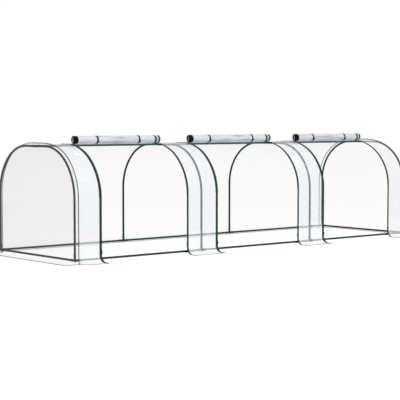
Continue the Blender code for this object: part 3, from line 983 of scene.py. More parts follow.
@dataclass
class TubeFrame(Assembly):
    """The hoops, ridge tubes and base rails: hollow coated steel tubes."""

    radius: float = 0.008
    wall: float = 0.0012
    setback: float = 0.0133
    sides: int = 24
    shoulder_steps: int = 30
    straight_steps: int = 10
    rub_length: float = 0.07

    def hollow_tube(self, path: Points, plane_normal: Array) -> Shape:
        """Return a tube with a bore: its outer wall out along the path, its inner wall back.

        Args:
            path: the tube's centre line.
            plane_normal: the normal of the plane that it lies in.

        Returns:
            The closed shape, with the number rub rising towards its two ends.
        """
        outer = sweep(path, plane_normal, circle(self.radius, self.sides))
        inner = sweep(path, plane_normal, circle(self.radius - self.wall, self.sides))[::-1]
        shape = Shape.from_grid(np.concatenate((outer, inner)), wrap_rows=True, wrap_columns=True)
        along = run_length(path)
        rub = bell(np.minimum(along, along[-1] - along), self.rub_length)
        shape.numbers["rub"] = np.repeat(np.concatenate((rub, rub[::-1])), self.sides)
        return shape.outward()

    def hoop_path(self, x: float, side: Side) -> Points:
        """Return half a hoop's centre line at x: up the leg, round the shoulder and in to the ridge."""
        section = self.section
        leg_z = np.linspace(self.layout.rail_height + self.setback, section.leg_top, self.straight_steps)[:-1]
        leg = np.column_stack((np.full_like(leg_z, section.half_width), leg_z))
        shoulder = section.arc(np.linspace(0.0, QUARTER, self.shoulder_steps + 1))
        flat_y = np.linspace(section.flat_half, self.setback, self.straight_steps // 2)[1:]
        flat = np.column_stack((flat_y, np.full_like(flat_y, section.ridge_height)))
        return in_plane(x, np.concatenate((leg, shoulder, flat)) * (side.value, 1.0))

    def straight_path(self, start: Sequence[float], end: Sequence[float]) -> Points:
        """Return a straight centre line in even steps."""
        share = np.linspace(0.0, 1.0, self.straight_steps)[:, None]
        return np.array(start) * (1.0 - share) + np.array(end) * share

    def routes(self) -> dict[str, Points]:
        """Return the centre line of each packed tube, by its node."""
        half, rail, hoops = self.section.half_width, self.layout.rail_height, self.layout.hoop_x
        lines = {"ridge_tube": (0.0, self.section.ridge_height)}
        lines |= {f"base_rail_{side.word}": (side.value * half, rail) for side in Side}
        routes = {}
        for index, x in enumerate(hoops, 1):
            routes |= {f"hoop_{index}_{side.word}": self.hoop_path(x, side) for side in Side}
        for index, (left, right) in enumerate(zip(hoops + self.setback, hoops[1:] - self.setback), 1):
            for name, place in lines.items():
                routes[f"{name}_{index}"] = self.straight_path((left, *place), (right, *place))
        reach = half - self.setback
        for end, x in zip(End, (hoops[0], hoops[-1])):
            routes[f"end_rail_{end.word}"] = self.straight_path((x, -reach, rail), (x, reach, rail))
        return routes

    def build(self) -> None:
        """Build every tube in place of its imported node."""
        for node, path in self.routes().items():
            kind = node.split("_")[0]
            tube = self.hollow_tube(path, X_AXIS if kind == "hoop" else Z_AXIS)
            finish = {"ridge": "ridge", "base": "tube"}.get(kind, "hoop")
            self.finishes.dress(f"{node}_tube", tube, finish, stands_for=[node])


@dataclass
class JointSet(Assembly):
    """The moulded joints: a soft-cornered hub with a socket for each tube, and pale feet."""

    hub_half: float = 0.0098
    hub_squareness: float = 5.0
    sharp_degrees: float = 35.0
    socket_radius: float = 0.0096
    lip_radius: float = 0.00995
    lip_length: float = 0.004
    bore_radius: float = 0.0083
    bore_start: float = 0.013
    reach: float = 0.04
    foot_radius: float = 0.0065
    foot_top: float = 0.0086
    rounding: float = 0.0006
    pinhole: float = 1e-5
    sides: int = 32

    def socket_profile(self) -> Points:
        """Return the socket's outline, as pairs of radius and distance from the hub's middle.

        It runs out along the wall, round a thicker lip, back down the bore and across its floor.
        """
        edge, end, bore, floor = self.rounding, self.reach, self.bore_radius, self.bore_start
        lip, wall, thick = end - self.lip_length, self.socket_radius - edge, self.lip_radius
        radii = (self.pinhole, wall, wall, thick, thick, thick - edge, bore, bore, self.pinhole)
        return np.column_stack((radii, (0.0, 0.0, lip - edge, lip, end - edge, end, end, floor, floor)))

    def arms(self, index: int, side: Side | None) -> list[Array]:
        """Return the directions of a joint's sockets.

        Args:
            index: the hoop's number, from 0.
            side: the side of a base joint, or None at the ridge.

        Returns:
            One unit vector for each socket.
        """
        last = len(self.layout.hoop_x) - 1
        arms = [X_AXIS * sign for sign in (-1, 1) if 0 <= index + sign <= last]
        if side is None:
            return arms + [Y_AXIS, -Y_AXIS]
        arms.append(Z_AXIS)
        if index in (0, last):
            arms.append(-side.value * Y_AXIS)
        return arms

    def joint(self, name: str, place: Array, arms: list[Array]) -> None:
        """Build a joint in place of its node: a hub and its sockets, united with exact Booleans.

        Args:
            name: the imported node.
            place: the hub's middle.
            arms: the sockets' directions.
        """
        hub = add_object(name, Shape.soft_box(np.zeros(3), [self.hub_half] * 3, self.hub_squareness).mesh(name))
        tools = []
        for arm in arms:
            tools.append(add_object("socket", Shape.turned(self.socket_profile(), arm, self.sides).mesh("socket")))
            modifier = hub.modifiers.new("socket", "BOOLEAN")
            modifier.operation = "UNION"
            modifier.solver = "EXACT"
            modifier.object = tools[-1]
        bpy.context.view_layer.update()
        graph = bpy.context.evaluated_depsgraph_get()
        mesh = bpy.data.meshes.new_from_object(hub.evaluated_get(graph))
        for thing in (hub, *tools):
            bpy.data.objects.remove(thing)
        mesh.name = name
        mesh.transform(Matrix.Translation(Vector(place)))
        mesh.shade_smooth()
        mesh.set_sharp_from_angle(angle=math.radians(self.sharp_degrees))
        self.finishes.dress(f"{name}_shell", mesh, "joint", stands_for=[name])

    def foot(self, label: str, place: Array) -> None:
        """Build the pale foot between a joint and the ground, its edge rounded."""
        top, radius = place[2] - self.foot_top, self.foot_radius
        edge = radius - self.rounding
        profile = np.array([(edge, top), (radius, top - self.rounding), (radius, self.rounding), (edge, 0.0)])
        foot = Shape.turned(profile, Z_AXIS, self.sides)
        foot.points = foot.points + place * (1.0, 1.0, 0.0)
        self.finishes.dress(f"foot_{label}", foot, "foot")

    def build(self) -> None:
        """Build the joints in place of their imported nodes, and the feet."""
        for index, x in enumerate(self.layout.hoop_x):
            for side in Side:
                label = f"{side.word}_{index + 1}"
                place = np.array([x, side.value * self.section.half_width, self.layout.rail_height])
                self.joint(f"base_joint_{label}", place, self.arms(index, side))
                self.foot(label, place)
            ridge = np.array([x, 0.0, self.section.ridge_height])
            self.joint(f"ridge_joint_{index + 1}", ridge, self.arms(index, None))


@dataclass
class CoverFilm(Assembly):
    """The arched cover: one sheet over the hoops, with the three windows cut out of its near side."""

    end_x: float = 1.7209
    window_setback: float = 0.0048
    thickness: float = 0.0005
    step: float = 0.02
    strip_step: float = 0.0125
    ripple: float = 0.0013
    fold: float = 0.0007
    calm_width: float = 0.05
    tube_width: float = 0.022
    ridge_width: float = 0.03
    outward_share: float = 0.4
    back_veil: float = 0.26
    leg_veil: float = 0.29
    skirt_veil: float = 0.6
    hem_lift: float = 0.0002
    hem_half: Pair = (0.005, 0.0012)
    haze_top: float = 0.195
    haze_fade: float = 0.03
    haze_veil: float = 1.5
    haze_pale: float = 0.58
    touching: float = 0.016

    @property
    def openings(self) -> list[Pair]:
        """The X of each opening's two edges."""
        return [(left - self.window_setback, right + self.window_setback) for left, right in self.layout.windows]

    @property
    def edges(self) -> list[float]:
        """The X of every upright edge of the film, from end to end."""
        return [-self.end_x, *(edge for pair in self.openings for edge in pair), self.end_x]

    def calm(self, x: Array) -> Array:
        """Return 0 at the seams and window edges, and 1 away from them."""
        return np.prod([1.0 - bell(x - edge, self.calm_width) for edge in self.edges], axis=0)

    def offset(self, x: Array, distance: Array, side: Array) -> Array:
        """Return the film's offset from the tubes' centre line.

        Long ripples lie between the hoops, narrow upright folds run down the legs, and the
        hem rises and falls. Over a tube or a joint the film only ever stands further out.

        Args:
            x: places along the tunnel.
            distance: distances from the ridge.
            side: -1 on the near side and 1 on the far one.

        Returns:
            The offsets.
        """
        section = self.section
        flat, shoulder, leg, bend, hem = section.breaks
        along = distance * side
        ripples = wave_sum(x, along, 3, 14, 0.11, 0.5) * self.ripple
        upright = wave_sum(x, along * 0.12, 8, 10, 0.035, 0.08) * self.fold
        on_leg = smooth_step((distance - flat) / (shoulder - flat))
        on_leg = on_leg * (1.0 - smooth_step((distance - leg) / (bend - leg)))
        swell = (ripples + upright * on_leg) * self.calm(x)
        near_tube = np.maximum(self.layout.near_hoops(x, self.tube_width), bell(distance, self.ridge_width))
        near_tube = np.maximum(near_tube, smooth_step((distance - leg + 0.12) / 0.06))
        held = np.minimum(near_tube, 1.0) * np.where(swell < 0.0, 1.0, 1.0 - self.outward_share)
        on_skirt = smooth_step((distance - leg) / (hem - leg))
        wave = 0.5 + 0.5 * wave_sum(x, side * 0.4, 21, 6, 0.16, 0.5)
        from_hoop = np.min([np.abs(x - hoop) for hoop in self.layout.hoop_x], axis=0)
        lifted = swell * (1.0 - held) * (1.0 - on_skirt) - section.slack(distance, from_hoop)
        return section.film_offset + lifted + np.clip(wave, 0.0, 1.0) * on_skirt * self.hem_lift

    def haze(self, x: Points, along: Points, height: Points, on_skirt: Points) -> Points:
        """Return how milky the foot of the near side is: it hazes what lies off its back.

        Nothing above haze_top, nothing where the film touches a hoop's leg, and nothing on
        the flat of the skirt.
        """
        free = 1.0 - np.minimum(self.layout.near_hoops(x, self.touching), 1.0)
        low = smooth_step((self.haze_top - height) / self.haze_fade)
        return low * free * (1.0 - smooth_step((on_skirt - 0.5) / 0.3)) * (along < 0.0)

    def sheet(self) -> Shape:
        """Return the sheet with its windows cut out, and the numbers that its finish reads.

        The grid holds places along the tunnel and signed distances from the ridge, and the
        section bends it. The far side's veil is thinner than the near one's.
        """
        half = lay_out_steps([0.0, *self.section.breaks], self.step)
        x, along = np.meshgrid(lay_out_steps(self.edges, self.strip_step), np.concatenate((-half[::-1], half[1:])))
        side = np.where(along < 0.0, -1.0, 1.0)
        distance = np.abs(along)
        across, height = self.section.place(distance, self.offset(x, distance, side), Side.FAR, x)
        shape = Shape.from_grid(np.stack((x, across * side, height), axis=-1))
        shape.surface = np.stack((x, along), axis=-1).reshape(-1, 2)
        centre_x, centre_along = shape.surface[shape.quads].mean(axis=1).T
        inside = sum((centre_x > left) & (centre_x < right) for left, right in self.openings) > 0
        shape.quads = shape.quads[~(inside & (centre_along < -self.section.flat_half))]
        turned, bent = self.section.angles(distance)
        near = smooth_step(0.5 - along / (2.0 * self.section.flat_half))
        on_skirt = bent / QUARTER
        behind = self.back_veil + self.leg_veil * (1.0 - np.cos(turned))
        veil = (behind + (1.0 - behind) * near) * (1.0 - (1.0 - self.skirt_veil) * on_skirt)
        haze = self.haze(x, along, height, on_skirt)
        shape.numbers["veil"] = (veil * (1.0 - haze) + self.haze_veil * haze).ravel()
        shape.numbers["pale"] = (self.haze_pale * haze).ravel()
        # cloud: the near shoulders, where the film's whitish patches are partly crease whitening and partly a painted
        # highlight.
        shape.numbers["cloud"] = (np.sin(2.0 * turned) * near).ravel()
        return shape.without_loose()

    def build(self) -> tuple[Piece, list[Piece]]:
        """Build the sheet and the thin cord welded into each stretch of its hem.

        Returns:
            The sheet, and the hems on it.
        """
        nodes = ["rear_sheet", *(f"front_strip_{index}" for index in range(1, 5))]
        piece = self.finishes.dress("cover_film", self.sheet(), "cover", stands_for=nodes, sharp=None)
        add_thickness(piece, self.thickness)
        spans = zip(self.edges[::2], self.edges[1::2])
        hems = [self.hem(f"hem_front_{index}", Side.NEAR, span) for index, span in enumerate(spans, 1)]
        return piece, hems + [self.hem("hem_rear", Side.FAR, (-self.end_x, self.end_x))]

    def hem(self, name: str, side: Side, span: Pair) -> Piece:
        """Build the cord in a stretch of one side's hem, between the two X of a span."""
        x = lay_out_steps(span, self.strip_step)
        distance = np.full_like(x, self.section.reach)
        offset = self.offset(x, distance, np.full_like(x, side.value)) + self.hem_half[1] - self.thickness
        path = np.column_stack((x, *self.section.place(distance, offset, side, x)))
        return self.finishes.dress(name, Shape.rod(path, Z_AXIS, circle(1.0, 8) * self.hem_half), "cord")

    def flat_size(self) -> Triple:
        """Return the sheet's width, length and area when flat, the windows taken out."""
        width, length = 2 * self.end_x, 2 * self.section.reach
        cut = sum(right - left for left, right in self.openings) * (self.section.reach - self.section.flat_half)
        return width, length, width * length - cut


@dataclass
class EndPanel(Assembly):
    """An end panel: a D-shaped face drawn round the end hoop, its rim and its skirt with cut-back corners."""

    end: End
    far_share: float = 0.6
    # The rim's extra veil and paleness below are a painted highlight along the hoop.
    rim_share: float = 0.9
    rim_pale: float = 0.3
    rim_fade: float = 0.004
    low_share: float = 0.3
    seam_x: float = 1.723
    half_length: float = 1.75
    corner_share: float = 0.5
    corner_turn: float = 1.2
    thickness: float = 0.0005
    welt_x: float = 1.7258
    welt_half: float = 0.0031
    hem_half: Pair = (0.0075, 0.0015)
    hem_lift: float = 0.0002
    bulge: float = 0.0012
    shoulder_steps: int = 20
    flat_steps: int = 12
    face_steps: int = 26
    bend_steps: int = 8
    skirt_steps: int = 3
    rim_steps: int = 7
    back_steps: int = 3
    welt_step: float = 0.018

    def skirt(self) -> tuple[Array, Array, Array]:
        """Return the skirt's reach outwards, its height and its share of the way down, from the bend's top."""
        section = self.section
        radius = section.skirt_bend + section.cover_face - section.film_offset
        bent = np.linspace(0.0, QUARTER, self.bend_steps + 1)
        out = np.linspace(0.0, section.skirt_flat, self.skirt_steps + 1)[1:]
        reach = np.concatenate((radius * (1.0 - np.cos(bent)), radius + out))
        level = np.full_like(out, section.bend_top - radius)
        height = np.concatenate((section.bend_top - radius * np.sin(bent), level))
        return reach, height, np.linspace(0.0, 1.0, len(reach)) ** 2

    def arch(self) -> Points:
        """Return the hoop's centre line over the shoulders and the crowned top, as pairs Y and Z."""
        section = self.section
        turn = np.linspace(0.0, QUARTER, self.shoulder_steps + 1)
        distance = section.flat_half + (QUARTER - turn) * (section.shoulder_radius + section.film_offset)
        shoulder = section.arc(turn)
        shoulder[:, 1] += section.rise(distance, self.half_length)
        flat = np.linspace(-section.flat_half, section.flat_half, self.flat_steps + 1)[1:-1]
        top = np.column_stack((flat, section.ridge_height + section.rise(flat, self.half_length)))
        return np.concatenate((shoulder * (-1.0, 1.0), top, shoulder[::-1]))

    def lift(self, place: Array) -> Array:
        """Return how far the hem rises off the ground at places round the end."""
        wave = 0.5 + 0.5 * wave_sum(place, place * 0.0 + self.end.value, 31, 6, 0.15, 0.45)
        return np.clip(wave, 0.0, 1.0) * self.hem_lift

    def face(self) -> Points:
        """Return the face and the end's skirt: a column down from each point of the arch.

        A column falls in a straight line from the arch to the bend's top, then follows the
        skirt outwards. The face bulges by a smooth random field that fades at its border.

        Returns:
            The points in rows, from the arch down to the hem.
        """
        section = self.section
        arch_y, arch_z = self.arch().T[:, None]
        stand = self.half_length + section.film_offset
        share = np.linspace(0.0, 1.0, self.face_steps + 1)[:, None]
        height = arch_z * (1.0 - share) + section.bend_top * share
        across = np.broadcast_to(arch_y, height.shape)
        border = (1.0 - (np.abs(across) / section.half_width) ** 4) * smooth_step(share * 4.0)
        border = border * smooth_step((1.0 - share) * 6.0)
        swell = wave_sum(across, height * 0.5, 12 + self.end.value, 12, 0.09, 0.45)
        face = np.stack((stand + self.bulge * swell * border, across, height), axis=-1)
        reach, fall, down = (values[1:, None] for values in self.skirt())
        edge = np.broadcast_arrays(stand + reach, arch_y, fall + down * self.lift(arch_y))
        return np.concatenate((face, np.stack(edge, axis=-1)))

    def rim_border(self) -> Points:
        """Return the rim's border from the near hem to the far one.

        Returns:
            Columns: Y and Z on the hoop's centre line, the outward normal's Y and Z, the
            skirt's reach and its share of the way down.
        """
        section = self.section
        share = np.linspace(0.0, 1.0, self.face_steps + 1)[1:]
        leg = np.zeros((len(share), 6))
        leg[:, 1] = section.leg_top * (1.0 - share) + section.bend_top * share
        reach, fall, down = self.skirt()
        foot = np.zeros((len(reach) - 1, 6))
        foot[:, 1], foot[:, 4], foot[:, 5] = fall[1:], reach[1:], down[1:]
        side = np.concatenate((leg, foot))
        side[:, 0], side[:, 2] = section.half_width, 1.0
        arch = self.arch()
        around = np.clip(np.abs(arch[:, 0]) - section.flat_half, 0.0, None)
        up = np.sqrt(np.maximum(section.shoulder_radius**2 - around**2, 0.0))
        normal = unit(np.column_stack((np.sign(arch[:, 0]) * around, up)))
        top = np.column_stack((arch, normal, np.zeros((len(arch), 2))))
        return np.concatenate((side[::-1] * (-1.0, 1.0, -1.0, 1.0, 1.0, 1.0), top, side))

    def rim(self) -> Points:
        """Return the rim: round the hoop's tube, then along the tunnel to the seam.

        At turn a the film stands film_offset from the tube's centre line, sine of a along
        the tunnel and cosine of a along the section's normal. On the skirt its reach is
        added, cut back towards the corner by corner_share times the sine of 2 a, and
        towards the seam to the spread that the arched cover has there.

        Returns:
            The points in rows, from the near hem round to the far one.
        """
        y, z, normal_y, normal_z, reach, down = self.rim_border().T[:, :, None]
        turn = np.linspace(QUARTER, 0.0, self.rim_steps + 1)
        back = np.linspace(0.0, self.half_length - self.seam_x, self.back_steps + 1)[1:]
        turn, back = np.append(turn, np.zeros_like(back)), np.append(np.zeros_like(turn), back)
        cut = 1.0 - self.corner_share * np.sin(2.0 * turn) ** 1.5
        seam = self.section.seam_spread
        cut = cut * (seam + (1.0 - seam) * smooth_step(turn / self.corner_turn))
        stand = self.section.film_offset + reach * cut
        across = y + normal_y * np.cos(turn) * stand
        height = z + normal_z * np.cos(turn) * stand + down * self.lift(across) * cut
        return np.stack((self.half_length + np.sin(turn) * stand - back, across, height), axis=-1)

    def turned(self, points: Points) -> Points:
        """Return points of the right end, or turned half round for the left end."""
        return points if self.end is End.RIGHT else points * (-1.0, -1.0, 1.0)

    def panel(self) -> Shape:
        """Return the whole panel, face and rim joined along the hoop, with its finish's numbers."""
        shape = Shape.from_grid(self.turned(self.face())).joined(Shape.from_grid(self.turned(self.rim())))
        height = np.clip(shape.points[:, 2] / self.section.ridge_height, 0.0, 1.0)
        outward = np.abs(shape.points[:, 0])
        on_rim = smooth_step((self.half_length + self.rim_fade - outward) / (2.0 * self.rim_fade))
        on_rim = on_rim * smooth_step(height * 8.0)
        share = 1.0 if self.end is End.LEFT else self.far_share
        low = self.low_share * (1.0 - smooth_step(height * 10.0))
        # The rim is drawn more veiled and paler than the face: a painted highlight along the hoop.
        shape.numbers["veil"] = share * (1.0 - low) * (1.0 + self.rim_share * on_rim)
        shape.numbers["cloud"] = np.zeros_like(height)
        shape.numbers["pale"] = self.rim_pale * on_rim
        return shape

    def build(self) -> tuple[Piece, list[Piece]]:
        """Build the panel, the welt that binds its seam and the cord in its hem.

        Returns:
            The panel, and the piping and hem on it.
        """
        name = f"end_film_{self.end.word}"
        mesh = self.panel().mesh(name, None)
        weld_mesh(mesh, outward=self.end.value * X_AXIS)
        panel = self.finishes.dress(name, mesh, "end", stands_for=[f"end_panel_{self.end.word}"])
        add_thickness(panel, self.thickness)
        trims = {"end_piping": self.piping(), "end_hem": self.hem()}
        return panel, [self.finishes.dress(f"{key}_{self.end.word}", trim, "cord") for key, trim in trims.items()]

    def piping(self) -> Shape:
        """Return the welt on the seam with the arched cover, standing up from hem to hem."""
        half = lay_out_steps([0.0, *self.section.breaks], self.welt_step)
        offset = self.section.film_offset + self.welt_half
        near = self.section.path(self.welt_x, half[::-1], offset, Side.NEAR)
        far = self.section.path(self.welt_x, half[1:], offset, Side.FAR)
        profile = rounded_bar(2.0 * self.welt_half, -self.welt_half, self.welt_half)[:, ::-1]
        return Shape.rod(self.turned(np.concatenate((near, far))), X_AXIS, profile)

    def hem(self) -> Shape:
        """Return the cord in the hem, round the end from seam to seam."""
        rim, face = self.rim(), self.face()
        path = self.turned(np.concatenate((rim[0][::-1], face[-1][1:-1], rim[-1])))
        return Shape.rod(path + Z_AXIS * (self.hem_half[1] - self.thickness), Z_AXIS, circle(1.0, 8) * self.hem_half)

    def flat_size(self) -> Triple:
        """Return the flat cut's width, length and area: face, rim and skirt."""
        section = self.section
        radius = section.shoulder_radius
        skirt = section.reach - section.breaks[2]
        face = 2 * section.half_width * (section.leg_top - section.bend_top)
        face += 2 * section.flat_half * radius + math.pi * radius**2 / 2
        rim_depth = self.half_length - self.seam_x + section.film_offset * QUARTER
        rim_length = 2 * (section.reach - skirt)
        area = face + rim_depth * rim_length + skirt * (2 * section.half_width + 4 * rim_depth)
        width = 2 * section.half_width + 2 * (rim_depth + skirt)
        return width, section.ridge_height - section.bend_top + rim_depth + skirt, area


@dataclass
class ZipHalf(Assembly):
    """Half a zip on its strip of film: a woven tape, moulded teeth and, at a right-hand foot, a box.

    A second tape lines the film's inner face over the flat top and the shoulder.
    """

    window: int
    end: End
    tape_inner: float = 0.0121
    lining_inner: float = 0.0089
    tape_thickness: float = 0.0011
    left_width: float = 0.0205
    right_width: float = 0.0165
    curl: float = 0.002
    droop: float = 0.0016
    ridge_distance: float = 0.012
    stitch_width: float = 0.0012
    stitch_insets: Pair = (0.0052, 0.0035)
    tooth_pitch: float = 0.0026
    tooth_length: float = 0.0015
    tooth_half: float = 0.0019
    tooth_thickness: float = 0.0018
    tooth_lift: float = 0.0002
    tooth_places: tuple[float, ...] = (-1.0, -0.35, 0.35, 0.8, 1.0)
    tooth_sizes: tuple[float, ...] = (0.7, 0.62, 0.85, 1.0, 0.75)
    end_margin: float = 0.003
    tape_step: float = 0.012
    box_size: Triple = (0.022, 0.0135, 0.017)
    box_offset: float = 0.01
    box_past_chain: float = 0.001
    sharp: float = 60.0

    @property
    def chain_x(self) -> float:
        """The X of the teeth's middle line."""
        return self.layout.windows[self.window][0 if self.end is End.LEFT else 1]

    @property
    def inward(self) -> int:
        """1 where the window lies towards +X, and -1 where it lies towards -X."""
        return -self.end.value

    def near_path(self, distance: Array, offset: Array) -> Points:
        """Return points of the near side over the teeth's middle line."""
        return self.section.path(self.chain_x, distance, offset, Side.NEAR)

    def sunk(self, distance: Array) -> Array:
        """Return how far the zip hangs in with the film, away from its hoop."""
        return self.section.slack(distance, np.abs(self.layout.hoop_x - self.chain_x).min())

    def curled(self, distance: Array) -> Array:
        """Return how far the open zip's edge curls up off the flat top, fading before the roll."""
        return self.curl * (1.0 - smooth_step((distance - self.section.flat_half + 0.012) / 0.036))

    def tape(self, inner: float, breaks: int, turned_up: float) -> Shape:
        """Return a tape: a flat bar with round edges, carried down from the ridge.

        Each ring is lifted outwards by a multiple of the curl, times its share of the way
        to the teeth.

        Args:
            inner: the offset of its inner face.
            breaks: how many of the section's stretches it runs over, 5 down to the hem.
            turned_up: the multiple of the curl.

        Returns:
            The closed shape.
        """
        width = self.left_width if self.end is End.LEFT else self.right_width
        distance = lay_out_steps([self.ridge_distance, *self.section.breaks[:breaks]], self.tape_step)
        offset = inner + self.tape_thickness / 2 - self.sunk(distance)
        path = self.near_path(distance, offset)
        raised = self.near_path(distance, offset + turned_up * self.curled(distance))
        profile = rounded_bar(self.tape_thickness, 0.0, width) * (1.0, -self.inward)
        share = 1.0 - np.abs(profile[None, :, 1:]) / width
        shape = Shape.closed(sweep(path, X_AXIS, profile) + (raised - path)[:, None] * share)
        across = np.abs(shape.points[:, 0] - self.chain_x)
        shape.surface = np.column_stack((across, np.repeat(distance, len(profile))))
        first, last = self.stitch_insets
        seams = [bell(across - place, self.stitch_width) for place in (first, width - last)]
        shape.numbers["stitch"] = np.maximum(*seams)
        return shape

    def teeth(self) -> Shape:
        """Return the row of teeth.

        A tooth is a six-sided rod across the chain, narrow at its neck on the tape and
        swollen at its head; every tooth is that rod set on its place and frame of the path.

        Returns:
            The shape of them all.
        """
        start = self.ridge_distance + self.end_margin
        count = int((self.section.reach - self.end_margin - start) / self.tooth_pitch)
        distance = start + self.tooth_pitch * np.arange(count)
        offset = self.tape_inner + self.tooth_thickness / 2 + self.tooth_lift
        offset = offset + self.curled(distance) - self.sunk(distance)
        path = self.near_path(distance, offset)
        tangent = unit(self.near_path(distance + 1e-4, offset) - path)
        normal = np.cross(X_AXIS, tangent)
        across = np.array(self.tooth_places) * self.tooth_half * self.inward
        ring = circle(0.5, 6) * (self.tooth_length, self.tooth_thickness)
        local = np.array(self.tooth_sizes)[:, None, None] * ring[None]
        grid = path[:, None, None] + local[None, :, :, :1] * tangent[:, None, None]
        grid = grid + local[None, :, :, 1:] * normal[:, None, None] + across[None, :, None, None] * X_AXIS
        rings, sides = local.shape[:2]
        last = (rings - 1) * sides + np.array([[0, 1, 2, 3], [3, 4, 5, 0]])
        one = np.concatenate((grid_faces(rings, sides, wrap_columns=True), [[0, 5, 4, 3], [3, 2, 1, 0]], last))
        shift = (np.arange(count) * rings * sides)[:, None, None]
        return Shape(grid.reshape(-1, 3), (one[None] + shift).reshape(-1, 4)).outward()

    def box(self) -> Shape:
        """Return the black box at the zip's foot, on the rail's height."""
        length, depth, height = self.box_size
        outward = self.section.half_width + self.box_offset + depth / 2
        centre = np.array([self.chain_x + self.box_past_chain - length / 2, -outward, self.layout.rail_height])
        return Shape.soft_box(centre, (length / 2, depth / 2, height / 2), 6.0)

    def build(self) -> list[Piece]:
        """Build the tape, its teeth and, at a right-hand foot, the box.

        Returns:
            The pieces, the tape first.
        """
        node = f"zip_{self.window + 1}_{self.end.word}"
        lining = self.tape(self.lining_inner, 2, -self.droop / self.curl)
        tapes = self.tape(self.tape_inner, 5, 1.0).joined(lining)
        parts = {"tape": (tapes, "tape"), "teeth": (self.teeth(), "coil")}
        if self.end is End.RIGHT:
            parts["box"] = (self.box(), "box")
        return [
            self.finishes.dress(f"{node}_{key}", shape, finish, stands_for=[node], sharp=self.sharp)
            for key, (shape, finish) in parts.items()
        ]


def long_ring(half: float, high: float, low: float) -> Points:
    """Return the outline of a slot: half circles about a high and a low middle, 13 points each."""
    turn = np.linspace(0.0, math.pi, 13)
    top = np.column_stack((half * np.cos(turn), high + half * np.sin(turn)))
    bottom = np.column_stack((-half * np.cos(turn), low - half * np.sin(turn)))
    return np.concatenate((top, bottom))


@dataclass
class ZipSlider:
    """A slider: a waisted body with a bridge, and a pull that hangs from it."""

    finishes: Finishes
    window: int
    end: End
    depth: float = 0.0052
    height: float = 0.014
    plate_inset: float = 0.0006
    plate_half: float = 0.00062
    waist: float = 0.2
    post_half: Triple = (0.001, 0.0022, 0.0018)
    post_drop: float = 0.0022
    bridge_radius: float = 0.0009
    bridge_out: float = 0.0019
    bridge_sunk: float = 0.0004
    bridge_half: float = 0.36
    pull_gap: float = 0.0012
    pull_width: float = 0.0052
    pull_thickness: float = 0.0015
    pull_length: float = 0.0215
    slot_share: float = 0.48
    slot_length: float = 0.0045
    sharp: float = 50.0

    def plate(self, x: float, y: float, z: float, half_width: float) -> Shape:
        """Return a plate of the body: a soft box drawn in at its waist by a bell of the height."""
        plate = Shape.soft_box(np.array([x, y, z]), (half_width, self.plate_half, self.height / 2), 3.4, 12)
        waist = bell(plate.points[:, 2] - (z - self.height * 0.18), self.height * 0.3)
        plate.points[:, 0] = x + (plate.points[:, 0] - x) * (1.0 - self.waist * waist)
        return plate

    def bridge(self, x: float, front: float, z: float) -> Shape:
        """Return the bridge: half an ellipse of wire over the front plate."""
        angle = np.linspace(0.0, math.pi, 15)
        y = front - self.bridge_out * np.sin(angle) + self.bridge_sunk
        route = np.column_stack((y, z + self.bridge_half * self.height * np.cos(angle)))
        return Shape.rod(in_plane(x, route), X_AXIS, circle(self.bridge_radius, 10))

    def pull(self, x: float, y: float, top: float) -> Shape:
        """Return the pull: a plate with round ends, bevelled edges and a slot near its top.

        Rings of one outline follow each other at rising depths, from the slot over the back,
        round the edge and over the front into the slot.

        Args:
            x: its middle's X.
            y: its Y.
            top: its top's height.

        Returns:
            The closed shape.
        """
        half, depth = self.pull_width / 2, self.pull_thickness / 2
        edge = long_ring(half, top - half, top - self.pull_length + half)
        slot = long_ring(half * self.slot_share, top - half, top - half - self.slot_length)
        bevel = edge * (0.9, 1.0)
        rings = ((slot, -1.0), (bevel, -1.0), (edge, -0.6), (edge, 0.6), (bevel, 1.0), (slot, 1.0))
        grid = [np.insert(ring, 1, y + level * depth, axis=1) + (x, 0.0, 0.0) for ring, level in rings]
        return Shape.from_grid(np.stack(grid), wrap_rows=True, wrap_columns=True).outward()

    def build(self) -> None:
        """Build the body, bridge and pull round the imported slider."""
        label = f"{self.window + 1}_{self.end.word}"
        node = f"zip_slider_{label}"
        low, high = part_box(node)
        x, back = (low.x + high.x) / 2, high.y
        front, z = back - self.depth, high.z - self.height / 2
        rear_plate, front_plate = (
            self.plate(x, y, z, (high.x - low.x) / 2) for y in (back - self.plate_inset, front + self.plate_inset)
        )
        post = Shape.soft_box(np.array([x, (back + front) / 2, high.z - self.post_drop]), self.post_half, 4.0)
        body = rear_plate.joined(front_plate).joined(post).joined(self.bridge(x, front, z))
        for key, shape in {"body": body, "pull": self.pull(x, front - self.pull_gap, z)}.items():
            shape.numbers["worn"] = np.ones(len(shape.points))
            self.finishes.dress(f"{node}_{key}", shape, "enamel", f"slider_{label}", [node], self.sharp)


